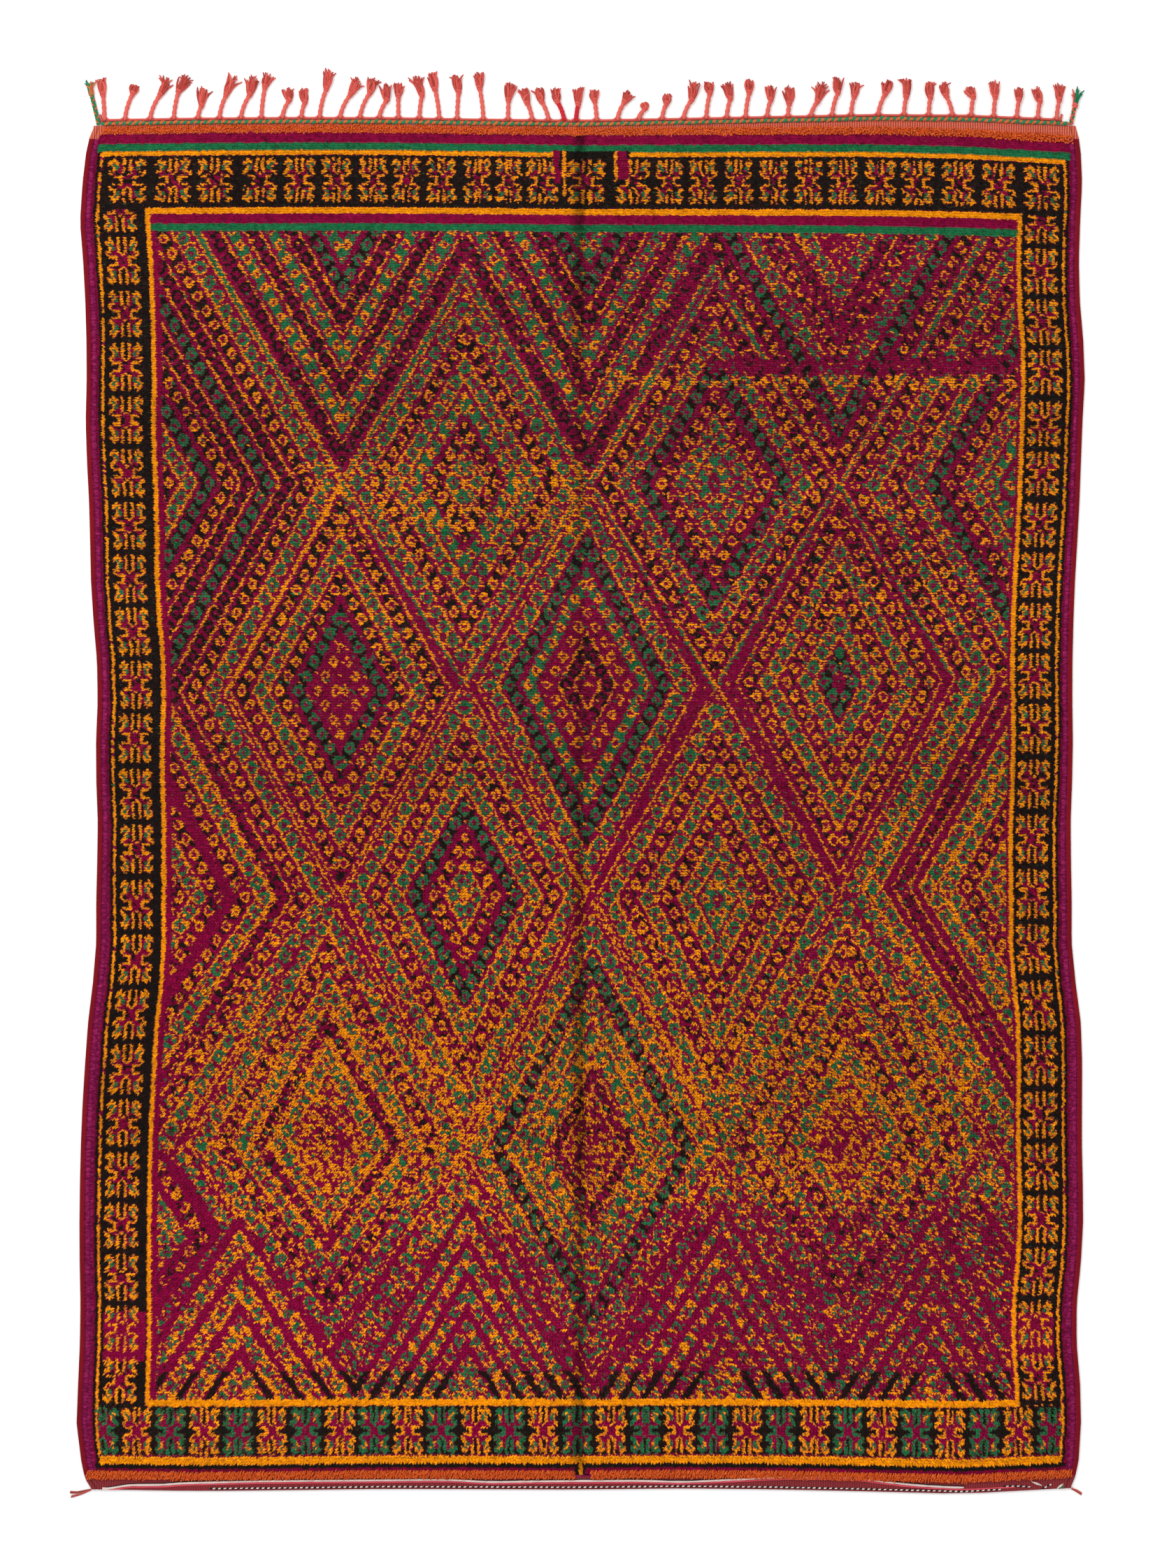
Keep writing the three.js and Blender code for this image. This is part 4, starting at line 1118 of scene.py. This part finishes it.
# The plain lines between the borders, worked from the inside out: how far in each one reaches
INNER_TOP_LINES = {39.8: GREEN, 36.8: PURPLE, 32.8: YELLOW}
FOOT_LINES = {7.2: PURPLE, 6.6: YELLOW}
TOP_LINE_IN = 8.8
SIDE_LINE_IN = 2.3
SIDE_EDGE_LINES = {1.3: BLACK, 0.3: PURPLE}
FOOT_EDGE_LINES = {4.0: BLACK, 2.3: PURPLE}
TOP_EDGE_LINES = {6.8: GREEN, 3.8: PURPLE}
UNBROKEN = 0.92
from_edge = np.minimum(column, last_column)
below_top = (row > TOP_BORDER + 0.3) & (last_row > BOTTOM_BORDER + 0.3)
inside = below_top & (column > LEFT_BORDER + 0.3) & (last_column > RIGHT_BORDER + 0.3)
beside = (column < LEFT_BORDER + 3.8) | (last_column < RIGHT_BORDER + 2.8)
paint(inside & beside & (row > 39), PURPLE)
for knots_in, yarn in INNER_TOP_LINES.items():
    paint(inside & (row < knots_in), yarn)
beside = (column < LEFT_BORDER + 1.8) | (last_column < RIGHT_BORDER + 1.8)
paint(inside & (beside | (last_row < BOTTOM_BORDER + 2.8)), YELLOW)
between = from_edge > 1.3
unbroken = rng.random(rows_down.shape) < UNBROKEN
paint(between & (from_edge < SIDE_LINE_IN) & unbroken, YELLOW)
for knots_in, yarn in FOOT_LINES.items():
    paint(between & (last_row < knots_in), yarn)
paint(between & (row < TOP_LINE_IN), YELLOW)
for knots_in, yarn in SIDE_EDGE_LINES.items():
    paint(from_edge < knots_in, yarn)
for knots_in, yarn in FOOT_EDGE_LINES.items():
    paint(last_row < knots_in, yarn)
paint((last_row < 2.3) & (x > MEND_BLACK[0]) & (x < MEND_BLACK[1]), BLACK)
paint((last_row < 5) & (x > MEND_YELLOW[0]) & (x < MEND_YELLOW[1]), YELLOW)
for knots_in, yarn in TOP_EDGE_LINES.items():
    paint(row < knots_in, yarn)

# Where two weavers' work met in the top border: broken lines and a cut motif
Seam = namedtuple("Seam", "low_x high_x last_row yarn")
SEAMS = [
    Seam(-44, 100, 10, BLACK), Seam(-44, -33, 20, PURPLE), Seam(-28, -21, 25, YELLOW),
    Seam(70, 76, 19, YELLOW), Seam(76, 96, 18, PURPLE),
]
for seam in SEAMS:
    paint((row > 6) & (row < seam.last_row) & (x > seam.low_x) & (x < seam.high_x), seam.yarn)

# Each knot stands as a nub: its four corners sink between its neighbours and its tip leans down the rug
PILE_HEIGHT = 14.0
PILE_LIMIT = 15.8
DIP_UPPER, DIP_LOWER = 2.6, 5.0
LAID_FROM, LAID_TO = 150.0, -500.0
FOLD_REACH, FOLD_DEPTH, FOLD_LEAN = 22.0, 2.5, 3.0
PITCH_ACROSS, PITCH_ALONG = 5.7, 4.9
LAST_FULL_ROW = KNOT_ROWS - 3
EDGE_SHARE, EDGE_REACH = 0.45, 32.0
STANDING_LEAN = 1.6
TIP_DOWN, TIP_LAID = 1.4, 2.2
JITTER_ACROSS, JITTER_ALONG, JITTER_LAID, JITTER_UP = 1.2, 0.8, 0.4, 1.0
LEAST_PILE = 0.5
SHEET_ROWS = 131
YARN_COLOURS = ["#800336", "#EC8E04", "#1C683F", "#1B1411"]


def laid(y):
    """Nought where the pile stands, one where it is long and lies down the rug"""
    share = np.clip((LAID_FROM - y) / (LAID_FROM - LAID_TO), 0, 1)
    return share * share * (3 - 2 * share)


def pile_height(row, column, x):
    """Height of the pile: lower round its edges and along the fold"""
    across = np.minimum(column, KNOT_COLUMNS - 1 - column) * PITCH_ACROSS
    along = np.minimum(row, LAST_FULL_ROW - row) * PITCH_ALONG
    full = np.clip(EDGE_SHARE + np.minimum(across, along) / EDGE_REACH, 0, 1)
    fold = FOLD_DEPTH * np.clip(1 - np.abs(x) / FOLD_REACH, 0, 1)
    return GROUND_HEIGHT + (PILE_HEIGHT - GROUND_HEIGHT) * full - fold


flow = laid(y)
sway = np.sin(x / 97 + y / 163) + np.sin(y / 71 - x / 139) + 0.6 * np.sin(x / 41 + 2) * np.sin(y / 37)
off_fold = FOLD_LEAN * np.sign(x) * np.clip(1 - np.abs(x) / FOLD_REACH, 0, 1)
standing_lean = (1 - flow) * STANDING_LEAN * np.clip(2 * sway, -1, 1)
laid_lean = flow * (0.8 * sway + np.clip(x / 250, -3, 1.5))
lean = standing_lean + laid_lean + off_fold
is_tip = np.array([0, 1])[:, None, None]
dip = (1 - is_tip) * (DIP_UPPER + (DIP_LOWER - DIP_UPPER) * flow)
nub_x = x + is_tip * lean + JITTER_ACROSS * rng.normal(size=x.shape)
tip_y = y - is_tip * (TIP_DOWN + TIP_LAID * flow)
nub_y = tip_y + (JITTER_ALONG + JITTER_LAID * flow) * rng.normal(size=x.shape)
nub_z = pile_height(row, column, x) - dip + rng.normal(0, JITTER_UP, x.shape)
nub_z = np.clip(nub_z, GROUND_HEIGHT + LEAST_PILE, PILE_LIMIT)
nub_points = np.stack([nub_x, nub_y, nub_z], axis=-1)

# What each reading of the chart leaves on the pile: how much of it is yellow, green and black yarn, how
# far the knots part there and how deep the painted shade between them falls, how light the dyeing came out,
# with painted shade along the fold and painted light where the laid pile shades itself, and which way the
# fibres lie: down the rug along the fold and at the right of the foot, aslant on the left
FIELD_PARTED_AND_SHADED, MOTIF_PARTED_AND_SHADED, LINE_PARTED_AND_SHADED = 1.0, 0.7, 0.15
# Painted light: the laid pile is drawn lighter to offset the shade its deep, leaning nubs cast on themselves;
# the foot is drawn lighter as well
TONE, LAID_SHADE_LIFT, TONE_FOOT = 1.05, 0.26, 0.25
TONE_JITTER = 0.09
TONE_LIMITS = (0.45, 1.9)
FOLD_SHADE_AT, FOLD_SHADE_REACH = 3, 11
field = (column > 21) & (last_column > 18) & (row > 39.5) & (last_row > 28)
motifs = side_border | top_rows | bottom_rows
parted_and_shaded = np.where(field, FIELD_PARTED_AND_SHADED, np.where(motifs, MOTIF_PARTED_AND_SHADED, LINE_PARTED_AND_SHADED))
yarn_share = np.stack([knots == YELLOW, knots == GREEN, knots == BLACK, parted_and_shaded], axis=-1)
dyeing = 0.06 * np.sin(row / 23.0) + 0.05 * np.sin(row / 7.3 + 1)
near_top = np.clip((y - 700) / 300, 0, 1)
near_foot = np.clip((-560 - y) / 300, 0, 1)
# Painted shade along the fold of the rug: darker near it, deeper where the pile lies down and near the top
fold_shade_depth = 0.32 + 0.45 * flow + 0.3 * near_top
fold_shade = np.clip(1.4 - np.abs(x - FOLD_SHADE_AT) / FOLD_SHADE_REACH, 0, 1) * fold_shade_depth
tone = TONE + LAID_SHADE_LIFT * flow + TONE_FOOT * near_foot + dyeing - fold_shade
tone = np.clip(tone + rng.normal(0, TONE_JITTER, rows_down.shape), *TONE_LIMITS)
down = np.clip(1.3 - np.abs(x) / 230, 0, 1) * flow
at_foot = np.clip((230 - from_bottom) / 60, 0, 1)
down = np.maximum(down, np.where(x > 0, 0.8, 0.0) * at_foot)
slant = np.clip((-x - 60) / 200, 0, 1) * np.maximum(0.6 * flow, at_foot)

# Wool pile: four dyed yarns that run into each other along their own fibres, soft and without gloss.
# Single fibres are too fine to show, so they are drawn as locks of a few millimetres. The shade that
# falls between the knots and rows is painted into the colour.
YARN_NOISE = 4.2
YARN_STRAY = 1.9
YARN_BLEND = 0.3
ROW_WANDER, COLUMN_WANDER = 0.9, 1.6
FIBRE_NOISE = 2.0
SLANT = 0.6
FIBRE_STRETCH = (0.55, 1.4, 1.0)
pile_wool, tree, output = new_material("knotted_wool_pile")
place = add_node(tree, "ShaderNodeTexCoord").outputs["Object"]
lies = []
for angle in (0.0, -SLANT, -math.pi / 2):
    turned = add_node(tree, "ShaderNodeVectorRotate", {"rotation_type": "Z_AXIS"}, {
        "Vector": place, "Angle": angle}).outputs[0]
    lies.append(add_node(tree, "ShaderNodeVectorMath", {"operation": "MULTIPLY"}, {
        0: turned, 1: FIBRE_STRETCH}).outputs[0])
runs_down, runs_aslant, knot_row, knot_column, tone_here = [
    add_node(tree, "ShaderNodeAttribute", {"attribute_name": name}).outputs["Fac"]
    for name in ("runs_down", "runs_aslant", "knot_row", "knot_column", "tone")]
charted = add_node(tree, "ShaderNodeAttribute", {"attribute_name": "yarn_share"}).outputs


def along_fibres(size, detail, output):
    """A noise drawn out along the fibres: across the rug, aslant or down it"""
    ways = [add_node(tree, "ShaderNodeTexNoise", inputs={
        "Vector": lie, "Scale": 1 / (size * MM), "Detail": detail}).outputs[output] for lie in lies]
    mixed = ways[0]
    for share, way in ((runs_aslant, ways[1]), (runs_down, ways[2])):
        mixed = add_node(tree, "ShaderNodeMix", {"data_type": "RGBA"}, {
            0: share, 6: mixed, 7: way}).outputs[2]
    return mixed


waver = along_fibres(YARN_NOISE, 2.0, "Color")
waver_parts = add_node(tree, "ShaderNodeSeparateColor", inputs={0: waver}).outputs
partings = []
for count, part, wander in ((knot_row, 1, ROW_WANDER), (knot_column, 0, COLUMN_WANDER)):
    wavering = add_node(tree, "ShaderNodeMath", {"operation": "MULTIPLY_ADD"}, {
        0: waver_parts[part], 1: wander, 2: count}).outputs[0]
    partings.append(add_node(tree, "ShaderNodeMath", {"operation": "PINGPONG"}, {
        0: wavering, 1: 0.5}).outputs[0])
between_rows, between_knots = partings
row_parting = add_node(tree, "ShaderNodeMapRange", inputs={
    0: between_rows, "From Min": 0.2, "From Max": 0.5, "To Min": 0.0, "To Max": 0.55}).outputs[0]
lost = add_node(tree, "ShaderNodeMath", {"operation": "MULTIPLY"}, {
    0: row_parting, 1: charted["Alpha"]}).outputs[0]
kept = add_node(tree, "ShaderNodeMath", {"operation": "SUBTRACT"}, {0: 1.0, 1: lost}).outputs[0]
share = add_node(tree, "ShaderNodeVectorMath", {"operation": "SCALE"}, {
    0: charted["Color"], "Scale": kept}).outputs[0]
swing = add_node(tree, "ShaderNodeVectorMath", {"operation": "SUBTRACT"}, {
    0: waver, 1: (0.5, 0.5, 0.5)}).outputs[0]
stray = add_node(tree, "ShaderNodeMapRange", inputs={
    0: charted["Alpha"], "To Min": 0.6 * YARN_STRAY, "To Max": YARN_STRAY}).outputs[0]
swing = add_node(tree, "ShaderNodeVectorMath", {"operation": "SCALE"}, {0: swing, "Scale": stray}).outputs[0]
share = add_node(tree, "ShaderNodeVectorMath", {"operation": "ADD"}, {0: share, 1: swing}).outputs[0]
share = add_node(tree, "ShaderNodeSeparateXYZ", inputs={0: share}).outputs
yarn = linear(YARN_COLOURS[PURPLE])
for number, colour, enough in ((2, BLACK, 0.42), (1, GREEN, 0.44), (0, YELLOW, 0.58)):
    shows = add_node(tree, "ShaderNodeMapRange", {"interpolation_type": "SMOOTHSTEP"}, {
        0: share[number], "From Min": enough - YARN_BLEND, "From Max": enough + YARN_BLEND}).outputs[0]
    yarn = add_node(tree, "ShaderNodeMix", {"data_type": "RGBA"}, {
        0: shows, 6: yarn, 7: linear(YARN_COLOURS[colour])}).outputs[2]
fibre = along_fibres(FIBRE_NOISE, 3.0, "Fac")
fibre_tone_and_shade = add_node(tree, "ShaderNodeMapRange", inputs={
    0: fibre, "From Min": 0.3, "From Max": 0.7, "To Min": 0.7, "To Max": 1.2}).outputs[0]
fibre_tone_and_shade = add_node(tree, "ShaderNodeMath", {"operation": "MULTIPLY"}, {0: fibre_tone_and_shade, 1: tone_here}).outputs[0]
# Painted shade: the wool darkens towards the partings between knots and rows, deeply in the field and motifs,
# faintly along the plain lines
between_knots = add_node(tree, "ShaderNodeMath", {"operation": "MULTIPLY"}, {
    0: between_knots, 1: 0.85}).outputs[0]
gap = add_node(tree, "ShaderNodeMath", {"operation": "MAXIMUM"}, {
    0: between_rows, 1: between_knots}).outputs[0]
deep_gap_shade = add_node(tree, "ShaderNodeMapRange", inputs={
    0: gap, "From Min": 0.22, "From Max": 0.46, "To Min": 1.16, "To Max": 0.3}).outputs[0]
shallow_row_shade = add_node(tree, "ShaderNodeMapRange", inputs={
    0: between_rows, "From Min": 0.15, "From Max": 0.5, "To Min": 1.02, "To Max": 0.6}).outputs[0]
shadow = add_node(tree, "ShaderNodeMix", {"data_type": "FLOAT"}, {
    0: charted["Alpha"], 2: shallow_row_shade, 3: deep_gap_shade}).outputs[0]
fibre_tone_and_shade = add_node(tree, "ShaderNodeMath", {"operation": "MULTIPLY"}, {0: fibre_tone_and_shade, 1: shadow}).outputs[0]
shaded = add_node(tree, "ShaderNodeMix", {"data_type": "RGBA", "blend_type": "MULTIPLY"}, {
    0: 1.0, 6: yarn, 7: fibre_tone_and_shade}).outputs[2]
relief = add_node(tree, "ShaderNodeBump", inputs={
    "Height": fibre, "Strength": 0.7, "Distance": 1.0 * MM}).outputs[0]
surface = add_node(tree, "ShaderNodeBsdfPrincipled", inputs={
    "Base Color": shaded, "Roughness": 0.95, "Specular IOR Level": 0.1, "Normal": relief})
tree.links.new(surface.outputs[0], output.inputs["Surface"])


def nub_sheet(name, first, count):
    """A closed mesh of some rows of knots: four faces to a nub, walls down to the ground, one flat base"""
    index = np.arange((count + 1) * (KNOT_COLUMNS + 1)).reshape(count + 1, KNOT_COLUMNS + 1)
    rim = np.concatenate([index[:-1, 0], index[-1, :-1], index[:0:-1, -1], index[0, :0:-1]])

    def laid_out(values):
        """Values of the corners, the tips and the base, one after the other"""
        width = values.shape[3:]
        corners = values[0, first:first + count + 1].reshape(-1, *width)
        tips = values[1, first:first + count, :KNOT_COLUMNS].reshape(-1, *width)
        return np.concatenate([corners, tips, corners[rim]])

    points = laid_out(nub_points)
    points[-len(rim):, 2] = GROUND_HEIGHT
    a, b = index[:-1, :-1].ravel(), index[1:, :-1].ravel()
    c, d = index[1:, 1:].ravel(), index[:-1, 1:].ravel()
    tip = index.size + np.arange(count * KNOT_COLUMNS)
    nubs = np.stack([a, b, tip, b, c, tip, c, d, tip, d, a, tip], axis=-1).reshape(-1, 3)
    foot = index.size + len(tip) + np.arange(len(rim))
    walls = np.stack([rim, foot, np.roll(foot, -1), np.roll(rim, -1)], axis=-1)
    mesh = bpy.data.meshes.new(name)
    mesh.from_pydata(points * MM, [], nubs.tolist() + walls.tolist() + [foot[::-1].tolist()])
    mesh.shade_smooth()
    layer = mesh.attributes.new("yarn_share", "FLOAT_COLOR", "POINT")
    layer.data.foreach_set("color", laid_out(yarn_share).astype(np.float32).ravel())
    add_values(
        mesh, "FLOAT", tone=laid_out(tone), runs_down=laid_out(down), runs_aslant=laid_out(slant),
        knot_row=laid_out(row), knot_column=laid_out(column))
    return new_object(name, mesh, pile_wool)


for number, first in enumerate(range(0, KNOT_ROWS, SHEET_ROWS)):
    pile = nub_sheet(f"knotted_pile_{number + 1}", first, min(SHEET_ROWS, KNOT_ROWS - first))
    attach(pile, "root")
    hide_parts("knotted_carpet")
